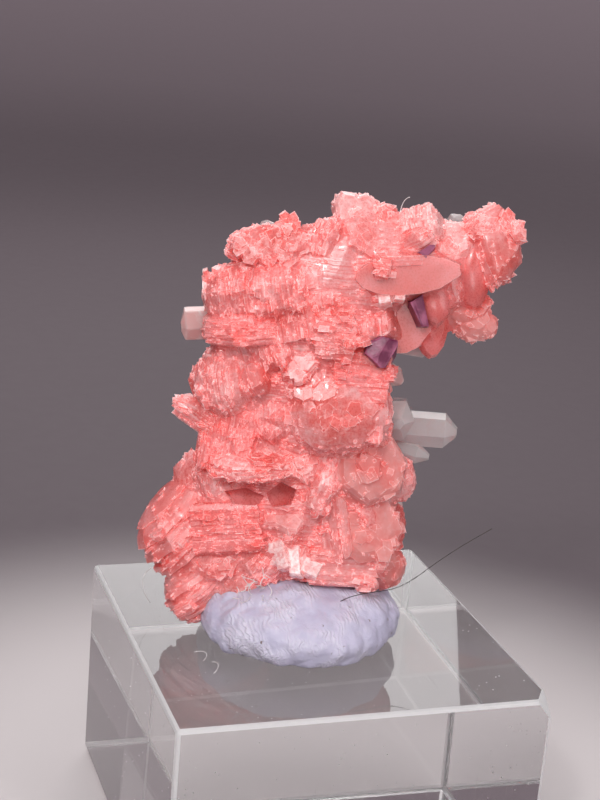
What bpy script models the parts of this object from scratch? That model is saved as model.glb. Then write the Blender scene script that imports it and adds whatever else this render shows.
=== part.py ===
"""Rhodochrosite with quartz and fluorite crystals, pressed into putty on a clear acrylic block.

Metres, +Z up. The origin is the centre of the block's bottom face, and the block's sides run along X and Y.
The specimen is laid out face-on, in millimetres: x across its show face, y into its depth and z up its height.
Its depth is counted from a spine that stands upright over the putty.
"""

import math
import random
from typing import NamedTuple

import bmesh
import bpy
from mathutils import Euler, Matrix, Vector
from mathutils.bvhtree import BVHTree

MM = 0.001
GAP = 0.3

BLOCK_SIDE = 32.0
BLOCK_HEIGHT = 19.0
BLOCK_EDGE = 0.35
CHIP_SIZE = 1.1
CHIP_SLANT = (0.75, -0.5, 0.6)

PUTTY_CENTRE = (-0.7, 0.0)
PUTTY_RADII = (8.7, 8.7)
PUTTY_TURN = math.radians(-18.0)
PUTTY_SECTIONS = ((0.0, 0.86), (0.8, 0.97), (2.0, 1.0), (3.3, 0.94), (4.5, 0.76), (5.3, 0.48))
PUTTY_SIDES = 20
PUTTY_LOBES = 3
PUTTY_LOBE_REACH = 0.02
PUTTY_LOBE_TURN = 0.6

SPECIMEN_FOOT = (-0.4, 2.3, 22.4)
SHOW_FACE_TURN = Euler((math.radians(-17.5), math.radians(-4.7), math.radians(-18.0)))
UPRIGHT_SLOPE = 0.313

SHOW_FACE = Matrix.LocRotScale(Vector(SPECIMEN_FOOT) * MM, SHOW_FACE_TURN, Vector((MM, MM, MM)))


class Kind(NamedTuple):
    """How a group of crystal leaves is shaped: its outline's sides, squareness, crown and step."""

    sides: int
    squareness: float
    crown: float
    step: float


PLATE = Kind(sides=7, squareness=1.8, crown=5.0, step=0.09)
SLAB = Kind(sides=8, squareness=2.6, crown=9.0, step=0.05)
BLOCK = Kind(sides=8, squareness=4.0, crown=9.0, step=0.05)
FAN = Kind(sides=8, squareness=2.2, crown=2.6, step=0.09)
LENS = Kind(sides=8, squareness=2.0, crown=2.4, step=0.0)
RHOMB = Kind(sides=6, squareness=1.3, crown=6.0, step=0.05)


class Growth(NamedTuple):
    """A stack of crystal leaves: its centre, its width, height and thickness, and the way it faces."""

    kind: Kind
    at: tuple
    size: tuple
    facing: tuple
    leaves: int = 2
    spin: float = 0.0


class Section(NamedTuple):
    """One level of the rhodochrosite's mass: height, middle, half width and half depth."""

    z: float
    x: float
    half_width: float
    half_depth: float


class Prism(NamedTuple):
    """A quartz crystal: its root, its tip, its radius and how far along its point begins."""

    base: tuple
    tip: tuple
    radius: float
    shoulder: float


class Cube(NamedTuple):
    """A fluorite crystal: its centre, its three sides and its turn in degrees."""

    at: tuple
    size: tuple
    turn: tuple


TRUNK = (
    Section(-1.2, -1.0, 5.4, 4.2),
    Section(1.5, 0.0, 7.5, 5.4),
    Section(6.5, 0.5, 7.8, 5.6),
    Section(11.5, -0.2, 7.3, 5.1),
    Section(16.5, -0.6, 7.0, 5.0),
    Section(21.0, 0.2, 7.4, 4.9),
    Section(25.2, 2.4, 8.9, 4.5),
    Section(28.4, 3.9, 8.4, 3.5),
    Section(30.4, 6.3, 4.9, 2.1),
)
TRUNK_DEPTH = -0.9
TRUNK_SIDES = 14

LEFT_LEDGES = (
    Growth(SLAB, (-2.1, -2.9, 28.5), (7.2, 3.4, 4.4), (0.05, -1.0, 0.12), 2, 20),
    Growth(PLATE, (-3.2, -1.4, 28.4), (3.4, 4.0, 1.5), (-0.3, -0.1, 1.0), 1, -10),
    Growth(FAN, (-3.3, -2.9, 24.7), (7.8, 5.8, 9.4), (1.0, -0.15, 0.1), 6),
    Growth(SLAB, (-4.6, -3.3, 22.0), (8.4, 7.2, 2.5), (0.0, -0.2, 1.0), 2, 10),
    Growth(PLATE, (-4.6, -2.6, 26.5), (3.6, 5.0, 2.2), (-0.3, -0.1, 1.0), 2, 15),
    Growth(FAN, (-6.0, -3.5, 17.5), (6.0, 6.2, 5.2), (1.0, -0.45, 0.1), 5),
    Growth(FAN, (-3.8, -5.3, 17.7), (3.0, 3.0, 2.6), (0.9, -0.3, 0.35), 3),
    Growth(RHOMB, (-7.5, -3.2, 14.6), (6.6, 4.2, 2.5), (0.33, -0.4, 0.9), 2),
    Growth(BLOCK, (-5.6, -3.5, 12.8), (5.0, 5.6, 5.2), (1.0, -0.3, -0.2), 3),
    Growth(FAN, (-2.2, -4.5, 20.0), (3.6, 3.8, 4.0), (1.0, -0.3, 0.3), 3),
    Growth(FAN, (-2.4, -4.4, 14.4), (4.0, 4.4, 4.6), (1.0, -0.35, 0.2), 3),
    Growth(BLOCK, (-0.6, -4.4, 22.8), (3.0, 3.8, 4.2), (1.0, -0.2, 0.15), 3, 5),
)
CROWN = (
    Growth(FAN, (2.3, -2.6, 28.9), (4.2, 4.4, 2.8), (0.85, -0.4, -0.35), 4),
    Growth(PLATE, (3.9, -0.8, 31.3), (2.6, 3.4, 2.6), (0.1, -1.0, 0.2), 2, 20),
    Growth(LENS, (5.2, -0.6, 31.3), (2.6, 3.2, 2.6), (0.0, -1.0, 0.0), 2),
    Growth(PLATE, (5.3, -2.2, 29.0), (5.2, 5.0, 3.4), (0.35, -0.8, 0.45), 3, 15),
    Growth(LENS, (6.8, -0.9, 30.7), (2.6, 2.8, 2.6), (0.2, -1.0, 0.2), 2),
    Growth(FAN, (9.6, -1.5, 29.9), (4.4, 3.8, 4.4), (0.9, -0.4, 0.25), 5),
    Growth(FAN, (9.2, -2.7, 28.8), (4.6, 3.2, 2.8), (-0.5, -0.35, 0.75), 4),
    Growth(PLATE, (4.4, -3.8, 26.6), (3.2, 5.4, 1.0), (0.83, -0.1, -0.56), 1),
    Growth(FAN, (1.5, -3.0, 26.0), (4.8, 4.6, 3.0), (0.95, -0.3, 0.0), 3),
    Growth(FAN, (1.9, -3.7, 23.8), (4.6, 4.2, 3.8), (0.9, -0.45, 0.1), 4),
    Growth(PLATE, (8.0, -3.4, 27.7), (7.0, 4.6, 1.2), (0.0, -0.3, 1.0), 1),
    Growth(PLATE, (2.0, -1.4, 28.4), (5.4, 4.2, 3.2), (-0.1, -1.0, 0.3), 2, -15),
)
OVERHANG = (
    Growth(SLAB, (8.6, -3.8, 25.7), (8.8, 4.4, 4.0), (0.05, -1.0, -0.2), 1, 8),
    Growth(RHOMB, (10.8, -1.9, 22.0), (2.7, 5.8, 2.0), (0.3, -1.0, 0.0), 1, -6),
    Growth(SLAB, (8.0, -2.4, 22.4), (5.2, 5.0, 3.4), (0.1, -1.0, -0.2), 1),
    Growth(BLOCK, (6.8, -5.2, 24.0), (1.1, 0.9, 1.4), (-0.2, -1.0, 0.4), 1, 12),
    Growth(BLOCK, (7.9, -5.2, 24.3), (0.9, 0.8, 1.2), (0.2, -1.0, 0.3), 1, -8),
    Growth(FAN, (12.0, -1.7, 25.9), (3.4, 5.0, 3.0), (0.8, -0.6, 0.1), 3),
    Growth(PLATE, (12.2, -0.7, 28.9), (5.0, 3.4, 3.2), (0.0, -1.0, 0.1), 2, 20),
    Growth(LENS, (13.2, -0.6, 26.4), (3.6, 4.8, 3.0), (0.0, -1.0, 0.0), 2),
    Growth(FAN, (16.0, -0.8, 28.8), (4.4, 6.8, 3.6), (0.45, -0.85, 0.1), 3),
    Growth(LENS, (14.2, -1.3, 26.6), (3.0, 6.2, 2.6), (0.2, -1.0, -0.1), 2),
    Growth(PLATE, (15.0, -0.7, 30.4), (4.2, 3.2, 3.0), (0.1, -1.0, 0.3), 2, 20),
    Growth(LENS, (17.0, -0.8, 30.6), (2.3, 2.4, 2.4), (0.4, -1.0, 0.2), 1),
    Growth(LENS, (17.3, -0.6, 28.3), (2.2, 2.6, 2.4), (0.6, -1.0, 0.0), 1),
    Growth(LENS, (16.7, -0.7, 26.7), (2.4, 2.4, 2.2), (0.4, -1.0, -0.3), 1),
    Growth(PLATE, (13.4, -0.9, 23.5), (3.2, 2.6, 2.4), (0.0, -1.0, 0.0), 2),
    Growth(PLATE, (14.4, -0.7, 22.4), (3.4, 2.9, 2.6), (0.2, -1.0, 0.1), 2, 25),
    Growth(LENS, (15.5, -0.7, 22.2), (1.9, 2.3, 2.2), (0.4, -1.0, 0.0), 1),
    Growth(RHOMB, (14.8, -0.8, 23.6), (2.6, 1.9, 1.8), (0.0, -1.0, 0.3), 1, 20),
)
CENTRE = (
    Growth(PLATE, (0.1, -4.9, 18.9), (3.6, 3.4, 2.4), (-0.25, -1.0, 0.25), 2, 8),
    Growth(BLOCK, (2.9, -4.9, 21.4), (3.2, 3.6, 3.8), (0.1, -0.35, 1.0), 4),
    Growth(BLOCK, (1.4, -5.0, 22.5), (1.6, 1.6, 1.8), (-0.1, -1.0, 0.3), 1, 5),
    Growth(BLOCK, (5.0, -4.2, 18.4), (5.0, 4.4, 5.0), (0.1, -0.15, 1.0), 4),
    Growth(FAN, (5.3, -4.0, 21.6), (3.2, 3.2, 2.8), (0.9, -0.3, 0.0), 3),
    Growth(LENS, (0.3, -5.2, 16.8), (3.6, 2.8, 2.4), (-0.1, -1.0, 0.1), 2),
    Growth(FAN, (3.0, -4.9, 15.0), (9.2, 7.4, 5.0), (0.05, -1.0, 0.05), 5, 8),
    Growth(PLATE, (2.0, -6.1, 16.4), (3.8, 2.8, 2.0), (-0.05, -1.0, 0.2), 2, 25),
    Growth(BLOCK, (6.4, -3.9, 15.8), (4.6, 7.4, 1.6), (1.0, -0.2, 0.0), 1),
    Growth(FAN, (-0.5, -4.8, 12.6), (4.6, 3.2, 3.2), (0.2, -0.4, 1.0), 2, -12),
)
LOWER_BODY = (
    Growth(PLATE, (-3.7, -5.7, 10.9), (7.6, 4.4, 2.1), (0.0, -0.55, 0.85), 2, 6),
    Growth(PLATE, (0.2, -5.7, 10.5), (3.0, 2.6, 1.8), (0.0, -1.0, 0.3), 1, 30),
    Growth(FAN, (-6.8, -3.4, 9.4), (4.6, 5.6, 3.8), (0.5, -0.85, 0.1), 2),
    Growth(BLOCK, (-5.9, -4.3, 5.6), (6.2, 4.8, 4.6), (-0.08, -0.12, 1.0), 4, -8),
    Growth(RHOMB, (-1.0, -5.4, 6.0), (4.8, 4.0, 2.4), (-0.2, -0.8, 0.6), 2, 15),
    Growth(RHOMB, (-0.6, -5.2, 3.1), (4.4, 4.2, 2.4), (-0.3, -0.9, 0.3), 2, 25),
    Growth(BLOCK, (-0.9, -6.3, 2.8), (2.0, 3.2, 1.8), (-0.5, -0.8, 0.3), 1, 18),
    Growth(BLOCK, (1.0, -6.3, 2.1), (2.2, 1.9, 1.8), (0.3, -0.9, 0.35), 1, -25),
    Growth(PLATE, (1.5, -5.4, 9.2), (4.2, 5.4, 2.0), (-0.75, -0.6, 0.25), 2),
    Growth(BLOCK, (2.7, -4.9, 5.4), (3.2, 5.8, 3.6), (1.0, -0.3, 0.1), 3, 10),
    Growth(PLATE, (5.6, -3.6, 10.2), (6.6, 6.2, 4.4), (0.3, -1.0, 0.1), 3, 20),
    Growth(FAN, (7.9, -2.2, 9.4), (4.0, 4.4, 3.4), (0.6, -0.9, 0.0), 3),
    Growth(PLATE, (5.4, -4.1, 5.3), (6.2, 6.4, 4.0), (0.1, -1.0, 0.0), 2, 10),
    Growth(FAN, (7.2, -2.3, 5.2), (4.4, 5.4, 3.0), (0.8, -0.6, 0.0), 4),
    Growth(LENS, (7.1, -2.7, 1.5), (4.2, 4.2, 3.8), (0.3, -1.0, -0.1), 2),
    Growth(BLOCK, (3.2, -4.7, 2.3), (6.4, 4.0, 3.6), (0.1, -0.2, 1.0), 3, 12),
    Growth(FAN, (-3.4, -4.5, 2.3), (5.0, 5.0, 4.4), (-0.6, -0.4, 0.6), 3, 20),
    Growth(BLOCK, (-2.5, -4.7, 4.6), (3.8, 3.0, 3.0), (0.2, -0.3, 1.0), 2),
)
FAN_LOBE = (
    Growth(FAN, (-8.7, -2.6, 4.7), (6.4, 9.2, 9.8), (-0.68, -0.25, 0.68), 8),
    Growth(FAN, (-8.3, -3.5, 0.5), (5.4, 7.4, 5.0), (-0.55, -0.35, 0.75), 5),
    Growth(PLATE, (-7.0, -4.5, 2.8), (5.4, 4.6, 3.2), (-0.2, -1.0, 0.2), 2, 15),
    Growth(FAN, (-5.2, -4.5, 0.4), (5.2, 5.0, 3.4), (-0.5, -0.5, 0.7), 3),
    Growth(PLATE, (-8.6, -2.4, 9.2), (4.4, 5.0, 3.0), (-0.4, -0.9, 0.2), 2, 20),
)

BACK_LEVELS = (2.5, 7.5, 12.5, 17.5, 22.5, 27.0)
BACK_ANGLES = (-26.0, 12.0, 52.0, 90.0, 128.0, 166.0, 202.0)
BACK_ANGLE_SPREAD = 14.0
BACK_LEVEL_SPREAD = 1.3
BACK_RISE = (-0.4, 0.5)
BACK_WIDTHS = (4.6, 7.0)
BACK_TOP_SHARE = 0.7
BACK_HEIGHT_SHARES = (0.7, 1.0)
BACK_THICKNESSES = (2.2, 3.6)
BACK_SPIN = 60.0
BACK_SETTING = 0.86
BACK_SEED = 11

GROOVE_SHARE = 0.12
CORNER_SPREAD = 0.2
CORNER_REACH = (0.92, 1.05)
STEEP = 0.8

SMALL_CRYSTALS = 60
SMALL_WIDTHS = (1.0, 2.3)
SMALL_HEIGHT_SHARES = (0.6, 1.0)
SMALL_THICKNESS_SHARES = (0.5, 0.9)
SMALL_LEVELS = (0.5, 31.5)
SMALL_OFFSET = 3.0
SMALL_LEANS = ((-0.6, 0.6), (-0.6, 0.6), (-0.3, 0.7))
SMALL_REACH = 30.0
SMALL_SEED = 5

QUARTZ = {
    "quartz_cluster": (
        Prism((5.6, -0.4, 13.9), (13.3, -0.9, 13.3), 1.55, 0.86),
        Prism((8.3, 1.4, 14.6), (7.9, -2.7, 14.2), 1.9, 0.72),
        Prism((7.4, -0.8, 12.2), (10.95, -1.4, 11.2), 0.95, 0.7),
    ),
    "quartz_stub": (Prism((-5.6, -1.6, 22.5), (-9.8, -2.0, 22.3), 1.45, 0.92),),
    "quartz_nub": (Prism((6.4, 0.0, 18.9), (8.7, 0.0, 17.5), 1.0, 0.7),),
    "quartz_window": (Prism((8.0, -1.3, 20.6), (10.9, -0.9, 20.1), 0.7, 0.8),),
    "quartz_crest": (
        Prism((-2.3, 0.6, 28.6), (-2.9, 0.6, 30.9), 0.85, 0.8),
        Prism((-1.3, 0.8, 28.6), (-0.7, 0.8, 30.8), 0.75, 0.85),
    ),
    "quartz_neck": (Prism((12.4, 0.2, 29.8), (13.4, 0.3, 31.2), 1.0, 0.75),),
    "quartz_bead": (Prism((7.0, -1.2, 7.2), (8.8, -1.4, 7.0), 0.6, 0.7),),
}
PRISM_SIDES = 6
PRISM_ROOT = 0.94
PRISM_TIP = 0.34
PRISM_FLATNESS = 0.85
PRISM_UP = (0.0, -0.45, 1.0)

FLUORITE = {
    "fluorite_large": Cube((6.4, -5.2, 20.0), (2.5, 2.8, 2.5), (0.0, 30.0, 0.0)),
    "fluorite_medium": Cube((9.55, -4.4, 23.3), (1.3, 2.4, 2.5), (0.0, -15.0, 0.0)),
    "fluorite_small": Cube((10.0, -4.2, 27.9), (1.3, 1.8, 0.9), (0.0, 20.0, 0.0)),
}
CORNER_CUT = 0.25

FINISHES = {
    "clear_acrylic": {"colour": (0.95, 0.96, 0.98), "roughness": 0.03, "alpha": 0.3, "clear": 1.0, "ior": 1.49},
    "putty": {"colour": (0.62, 0.60, 0.70), "roughness": 0.55},
    "rhodochrosite": {"colour": (0.85, 0.28, 0.25), "roughness": 0.28},
    "quartz": {"colour": (0.93, 0.90, 0.90), "roughness": 0.05, "alpha": 0.35, "clear": 1.0, "ior": 1.544},
    "fluorite": {"colour": (0.26, 0.09, 0.22), "roughness": 0.12},
}


def remove_start_scene():
    """Removes whatever objects the scene starts with."""
    for obj in list(bpy.data.objects):
        bpy.data.objects.remove(obj, do_unlink=True)


def finish(name, colour, roughness, alpha=1.0, clear=0.0, ior=1.5):
    """Returns a Principled material, which is see-through where the mineral is."""
    material = bpy.data.materials.new(name)
    material.use_nodes = True
    shader = material.node_tree.nodes["Principled BSDF"]
    shader.inputs["Base Color"].default_value = (*colour, 1.0)
    shader.inputs["Roughness"].default_value = roughness
    shader.inputs["Metallic"].default_value = 0.0
    shader.inputs["Alpha"].default_value = alpha
    shader.inputs["Transmission Weight"].default_value = clear
    shader.inputs["IOR"].default_value = ior
    return material


def specimen_point(at):
    """Returns the world point of a place in the specimen, whose spine stands upright."""
    x, y, z = at
    return SHOW_FACE @ Vector((x, y - UPRIGHT_SLOPE * z, z))


def stacked_solid(name, rings):
    """Returns an object whose closed mesh runs through the rings, extruded from one to the next."""
    bm = bmesh.new()
    cap = bm.faces.new([bm.verts.new(point) for point in rings[0]])
    for ring in rings[1:]:
        grown = bmesh.ops.extrude_face_region(bm, geom=[cap, *cap.edges, *cap.verts])
        cap = next(item for item in grown["geom"] if isinstance(item, bmesh.types.BMFace))
        for vert, point in zip(cap.verts, ring):
            vert.co = point
    bmesh.ops.recalc_face_normals(bm, faces=bm.faces)
    return add_object(name, bm)


def add_object(name, bm):
    """Puts a bmesh into a new object of the scene and returns it."""
    mesh = bpy.data.meshes.new(name)
    bm.to_mesh(mesh)
    bm.free()
    obj = bpy.data.objects.new(name, mesh)
    bpy.context.scene.collection.objects.link(obj)
    return obj


def leaf_outline(kind, rng):
    """Returns a leaf's unit outline: a rounded rhomb, oval or rectangle with uneven corners."""
    outline = []
    for corner in range(kind.sides):
        angle = math.tau * (corner + rng.uniform(-CORNER_SPREAD, CORNER_SPREAD)) / kind.sides
        across, up = math.cos(angle), math.sin(angle)
        reach = (abs(across) ** kind.squareness + abs(up) ** kind.squareness) ** (-1 / kind.squareness)
        reach *= rng.uniform(*CORNER_REACH)
        outline.append((across * reach, up * reach))
    return outline


def facing_axes(facing, spin):
    """Returns the across, up and outward directions of a crystal that faces a given way."""
    outward = Vector(facing).normalized()
    steep = abs(outward.z) > STEEP
    guide = Vector((0.0, 1.0, 0.0)) if steep else Vector((0.0, 0.0, 1.0))
    up = (guide - guide.dot(outward) * outward).normalized()
    up.rotate(Matrix.Rotation(math.radians(spin), 3, outward))
    return up.cross(outward), up, outward


def grown_crystals(growths):
    """Returns the solids of a list of growths, each with its own uneven outline."""
    return [grown_crystal(growth, number) for number, growth in enumerate(growths)]


def grown_crystal(growth, number):
    """Returns one stack of crystal leaves, each leaf a step in or out from the last."""
    rng = random.Random(number)
    kind = growth.kind
    across, up, outward = facing_axes(growth.facing, growth.spin)
    width, height, thickness = growth.size
    outline = leaf_outline(kind, rng)
    centre = Vector(growth.at) - Vector((0.0, UPRIGHT_SLOPE * growth.at[2], 0.0))
    groove = GROOVE_SHARE / growth.leaves
    rings = []
    for leaf in range(growth.leaves):
        step = 1.0 + kind.step * rng.uniform(-1.0, 1.0)
        for level in (leaf / growth.leaves + groove, (leaf + 1) / growth.leaves - groove):
            depth = 2.0 * level - 1.0
            reach = 0.5 * step * (1.0 - abs(depth) ** kind.crown) ** (1.0 / kind.crown)
            middle = centre + outward * (0.5 * depth * thickness)
            rings.append([
                SHOW_FACE @ (middle + across * (a * width * reach) + up * (b * height * reach))
                for a, b in outline
            ])
    return stacked_solid("growth", rings)


def trunk_section(z):
    """Returns the middle, half width and half depth of the rhodochrosite's mass at a height."""
    for low, high in zip(TRUNK, TRUNK[1:]):
        if z <= high.z:
            share = (z - low.z) / (high.z - low.z)
            return [a + share * (b - a) for a, b in zip(low[1:], high[1:])]
    return list(TRUNK[-1][1:])


def trunk():
    """Returns the mass that all the rhodochrosite's leaves grow from."""
    rings = []
    for section in TRUNK:
        ring = []
        for side in range(TRUNK_SIDES):
            angle = math.tau * side / TRUNK_SIDES
            x = section.x + section.half_width * math.cos(angle)
            y = TRUNK_DEPTH + section.half_depth * math.sin(angle)
            ring.append(specimen_point((x, y, section.z)))
        rings.append(ring)
    return stacked_solid("trunk", rings)


def back_growths():
    """Returns plates over the sides and the back of the trunk, like those of the show face."""
    rng = random.Random(BACK_SEED)
    growths = []
    for level in BACK_LEVELS:
        for angle in BACK_ANGLES:
            turn = math.radians(angle + rng.uniform(-BACK_ANGLE_SPREAD, BACK_ANGLE_SPREAD))
            z = level + rng.uniform(-BACK_LEVEL_SPREAD, BACK_LEVEL_SPREAD)
            x, half_width, half_depth = trunk_section(z)
            out = Vector((math.cos(turn), math.sin(turn), rng.uniform(*BACK_RISE)))
            at = (
                x + BACK_SETTING * half_width * math.cos(turn),
                TRUNK_DEPTH + BACK_SETTING * half_depth * math.sin(turn),
                z,
            )
            kind = rng.choice((PLATE, FAN, PLATE, RHOMB))
            width = rng.uniform(*BACK_WIDTHS) * (BACK_TOP_SHARE if level == BACK_LEVELS[-1] else 1.0)
            size = (width, width * rng.uniform(*BACK_HEIGHT_SHARES), rng.uniform(*BACK_THICKNESSES))
            leaves = rng.choice((1, 2, 2))
            growths.append(Growth(kind, at, size, tuple(out), leaves, rng.uniform(-BACK_SPIN, BACK_SPIN)))
    return growths


def small_growths(body):
    """Returns the small rhombs that stand on the surface of the joined leaves, all the way round."""
    rng = random.Random(SMALL_SEED)
    surface = BVHTree.FromObject(body, bpy.context.evaluated_depsgraph_get())
    growths = []
    while len(growths) < SMALL_CRYSTALS:
        z = rng.uniform(*SMALL_LEVELS)
        turn = rng.uniform(0.0, math.tau)
        x = trunk_section(z)[0] + rng.uniform(-SMALL_OFFSET, SMALL_OFFSET)
        inside = specimen_point((x, TRUNK_DEPTH, z))
        outward = SHOW_FACE_TURN.to_matrix() @ Vector((math.cos(turn), math.sin(turn), 0.0))
        start = inside + outward * (SMALL_REACH * MM)
        hit, normal, _, _ = surface.ray_cast(start, -outward)
        if hit is None:
            continue
        place = SHOW_FACE.inverted() @ hit
        facing = SHOW_FACE_TURN.to_matrix().transposed() @ normal
        facing += Vector([rng.uniform(*lean) for lean in SMALL_LEANS])
        width = rng.uniform(*SMALL_WIDTHS)
        size = (width, width * rng.uniform(*SMALL_HEIGHT_SHARES), width * rng.uniform(*SMALL_THICKNESS_SHARES))
        at = (place.x, place.y + UPRIGHT_SLOPE * place.z, place.z)
        growths.append(Growth(RHOMB, at, size, tuple(facing), 1, rng.uniform(-90.0, 90.0)))
    return growths


def prism(base, tip, radius, shoulder, grow=0.0):
    """Returns a six-sided quartz crystal from its root to its pointed tip."""
    base, tip = specimen_point(base), specimen_point(tip)
    axis = (tip - base).normalized()
    base = base - axis * (grow * MM)
    tip = tip + axis * (grow * MM)
    guide = SHOW_FACE_TURN.to_matrix() @ Vector(PRISM_UP)
    up = (guide - guide.dot(axis) * axis).normalized()
    across = up.cross(axis)
    neck = base.lerp(tip, shoulder)
    rings = []
    for middle, reach in ((base, PRISM_ROOT), (neck, 1.0), (tip, PRISM_TIP)):
        ring = []
        for side in range(PRISM_SIDES):
            angle = math.tau * (side + 0.5) / PRISM_SIDES
            out = across * (math.cos(angle) * PRISM_FLATNESS) + up * math.sin(angle)
            ring.append(middle + out * (reach * (radius + grow) * MM))
        rings.append(ring)
    return stacked_solid("prism", rings)


def fluorite(at, size, turn, grow=0.0):
    """Returns a cube of fluorite with its corners cut, half sunk in what it grew on."""
    bm = bmesh.new()
    bmesh.ops.create_cube(bm, size=1.0)
    bmesh.ops.scale(bm, vec=[side + 2.0 * grow for side in size], verts=bm.verts)
    bmesh.ops.bevel(bm, geom=list(bm.verts), offset=CORNER_CUT, affect="VERTICES", segments=1, profile=0.5)
    place = Matrix.LocRotScale(Vector(at) - Vector((0.0, UPRIGHT_SLOPE * at[2], 0.0)),
                               Euler([math.radians(angle) for angle in turn]), None)
    bmesh.ops.transform(bm, matrix=SHOW_FACE @ place, verts=bm.verts)
    return add_object("fluorite", bm)


def putty(grow=0.0):
    """Returns the low mound of putty, flat where it is pressed on the block."""
    turn = Matrix.Rotation(PUTTY_TURN, 3, "Z")
    rings = []
    for height, share in PUTTY_SECTIONS:
        ring = []
        for side in range(PUTTY_SIDES):
            angle = math.tau * side / PUTTY_SIDES
            lobe = share * (1.0 + PUTTY_LOBE_REACH * math.cos(PUTTY_LOBES * angle + PUTTY_LOBE_TURN))
            reach = [radius * lobe + grow for radius in PUTTY_RADII]
            point = turn @ Vector((reach[0] * math.cos(angle), reach[1] * math.sin(angle), 0.0))
            point += Vector((*PUTTY_CENTRE, BLOCK_HEIGHT + GAP + height + (grow if height else -grow)))
            ring.append(point * MM)
        rings.append(ring)
    return stacked_solid("mounting_putty", rings)


def block():
    """Returns the clear block: polished edges all round, and one top corner chipped."""
    bm = bmesh.new()
    bmesh.ops.create_cube(bm, size=1.0)
    bmesh.ops.scale(bm, vec=(BLOCK_SIDE * MM, BLOCK_SIDE * MM, BLOCK_HEIGHT * MM), verts=bm.verts)
    bmesh.ops.translate(bm, vec=(0.0, 0.0, 0.5 * BLOCK_HEIGHT * MM), verts=bm.verts)
    bmesh.ops.bevel(bm, geom=list(bm.edges), offset=BLOCK_EDGE * MM, affect="EDGES", segments=1, profile=0.5)
    corner = Vector((0.5 * BLOCK_SIDE, -0.5 * BLOCK_SIDE, BLOCK_HEIGHT)) * MM
    slant = Vector(CHIP_SLANT).normalized()
    cut = bmesh.ops.bisect_plane(bm, geom=list(bm.verts) + list(bm.edges) + list(bm.faces),
                                 plane_co=corner - slant * (CHIP_SIZE * MM), plane_no=slant, clear_outer=True)
    rim = [item for item in cut["geom_cut"] if isinstance(item, bmesh.types.BMEdge)]
    bmesh.ops.contextual_create(bm, geom=rim)
    bmesh.ops.recalc_face_normals(bm, faces=bm.faces)
    return add_object("acrylic_block", bm)


def joined(name, solids, cutters=()):
    """Returns one closed object: the solids joined, the cutters taken away and sealed pockets filled."""
    base, *others = solids
    for operation, operands in (("UNION", others), ("DIFFERENCE", cutters)):
        if not operands:
            continue
        group = bpy.data.collections.new(operation.lower())
        for operand in operands:
            group.objects.link(operand)
        boolean = base.modifiers.new(operation.lower(), "BOOLEAN")
        boolean.operation = operation
        boolean.operand_type = "COLLECTION"
        boolean.collection = group
        boolean.solver = "EXACT"
    evaluated = base.evaluated_get(bpy.context.evaluated_depsgraph_get())
    bm = bmesh.new()
    bm.from_mesh(evaluated.to_mesh())
    keep_outer_shell(bm)
    for part in (*solids, *cutters):
        bpy.data.objects.remove(part, do_unlink=True)
    return add_object(name, bm)


def keep_outer_shell(bm):
    """Deletes every closed shell but the largest, so that pockets between leaves are filled."""
    unseen = set(bm.faces)
    shells = []
    while unseen:
        shell, front = [], [unseen.pop()]
        while front:
            face = front.pop()
            shell.append(face)
            for edge in face.edges:
                near = [other for other in edge.link_faces if other in unseen]
                unseen.difference_update(near)
                front.extend(near)
        shells.append(shell)
    shells.sort(key=len)
    spare = [face for shell in shells[:-1] for face in shell]
    bmesh.ops.delete(bm, geom=spare, context="FACES")


def main():
    """Builds the block, the putty and the specimen's crystals."""
    remove_start_scene()
    materials = {name: finish(name, **values) for name, values in FINISHES.items()}

    pieces = {block(): "clear_acrylic", putty(): "putty"}
    seats = [putty(GAP)]
    for name, prisms in QUARTZ.items():
        pieces[joined(name, [prism(*crystal) for crystal in prisms])] = "quartz"
        seats += [prism(*crystal, grow=GAP) for crystal in prisms]
    for name, crystal in FLUORITE.items():
        pieces[joined(name, [fluorite(*crystal)])] = "fluorite"
        seats.append(fluorite(*crystal, grow=GAP))

    growths = [*LEFT_LEDGES, *CROWN, *OVERHANG, *CENTRE, *LOWER_BODY, *FAN_LOBE, *back_growths()]
    large = joined("large_leaves", [trunk()] + grown_crystals(growths))
    solids = [large, *grown_crystals(small_growths(large))]
    pieces[joined("rhodochrosite", solids, seats)] = "rhodochrosite"

    for piece, slot in pieces.items():
        piece.data.materials.append(materials[slot])


main()
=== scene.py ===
"""Looks of a rhodochrosite specimen with quartz and fluorite, pressed into putty on a clear block.

Sizes are in millimetres and are turned into metres where a mesh is placed. The specimen is laid out
face-on: x across its show face, y into its depth and z up its height, counted from an upright spine.
"""

import logging
import math
import random
from dataclasses import astuple, dataclass, field
from enum import Enum

import bpy
import numpy as np
from mathutils import Euler, Matrix, Vector
from mathutils.bvhtree import BVHTree


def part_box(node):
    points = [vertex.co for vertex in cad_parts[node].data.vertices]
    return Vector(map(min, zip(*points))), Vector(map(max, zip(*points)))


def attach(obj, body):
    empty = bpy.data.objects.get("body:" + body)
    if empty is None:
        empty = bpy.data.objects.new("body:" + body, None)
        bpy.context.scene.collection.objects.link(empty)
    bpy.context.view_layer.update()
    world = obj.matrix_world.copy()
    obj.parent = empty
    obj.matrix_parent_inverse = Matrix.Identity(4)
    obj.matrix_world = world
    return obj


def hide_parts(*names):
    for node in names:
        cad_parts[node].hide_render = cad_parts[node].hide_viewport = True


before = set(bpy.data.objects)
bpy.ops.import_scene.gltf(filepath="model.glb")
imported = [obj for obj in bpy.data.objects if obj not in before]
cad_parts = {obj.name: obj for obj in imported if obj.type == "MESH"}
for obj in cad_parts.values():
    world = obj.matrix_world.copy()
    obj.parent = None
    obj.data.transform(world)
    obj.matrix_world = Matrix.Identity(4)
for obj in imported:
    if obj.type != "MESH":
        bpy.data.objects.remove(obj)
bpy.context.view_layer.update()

MM = 0.001
ROOT = "root"
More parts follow.
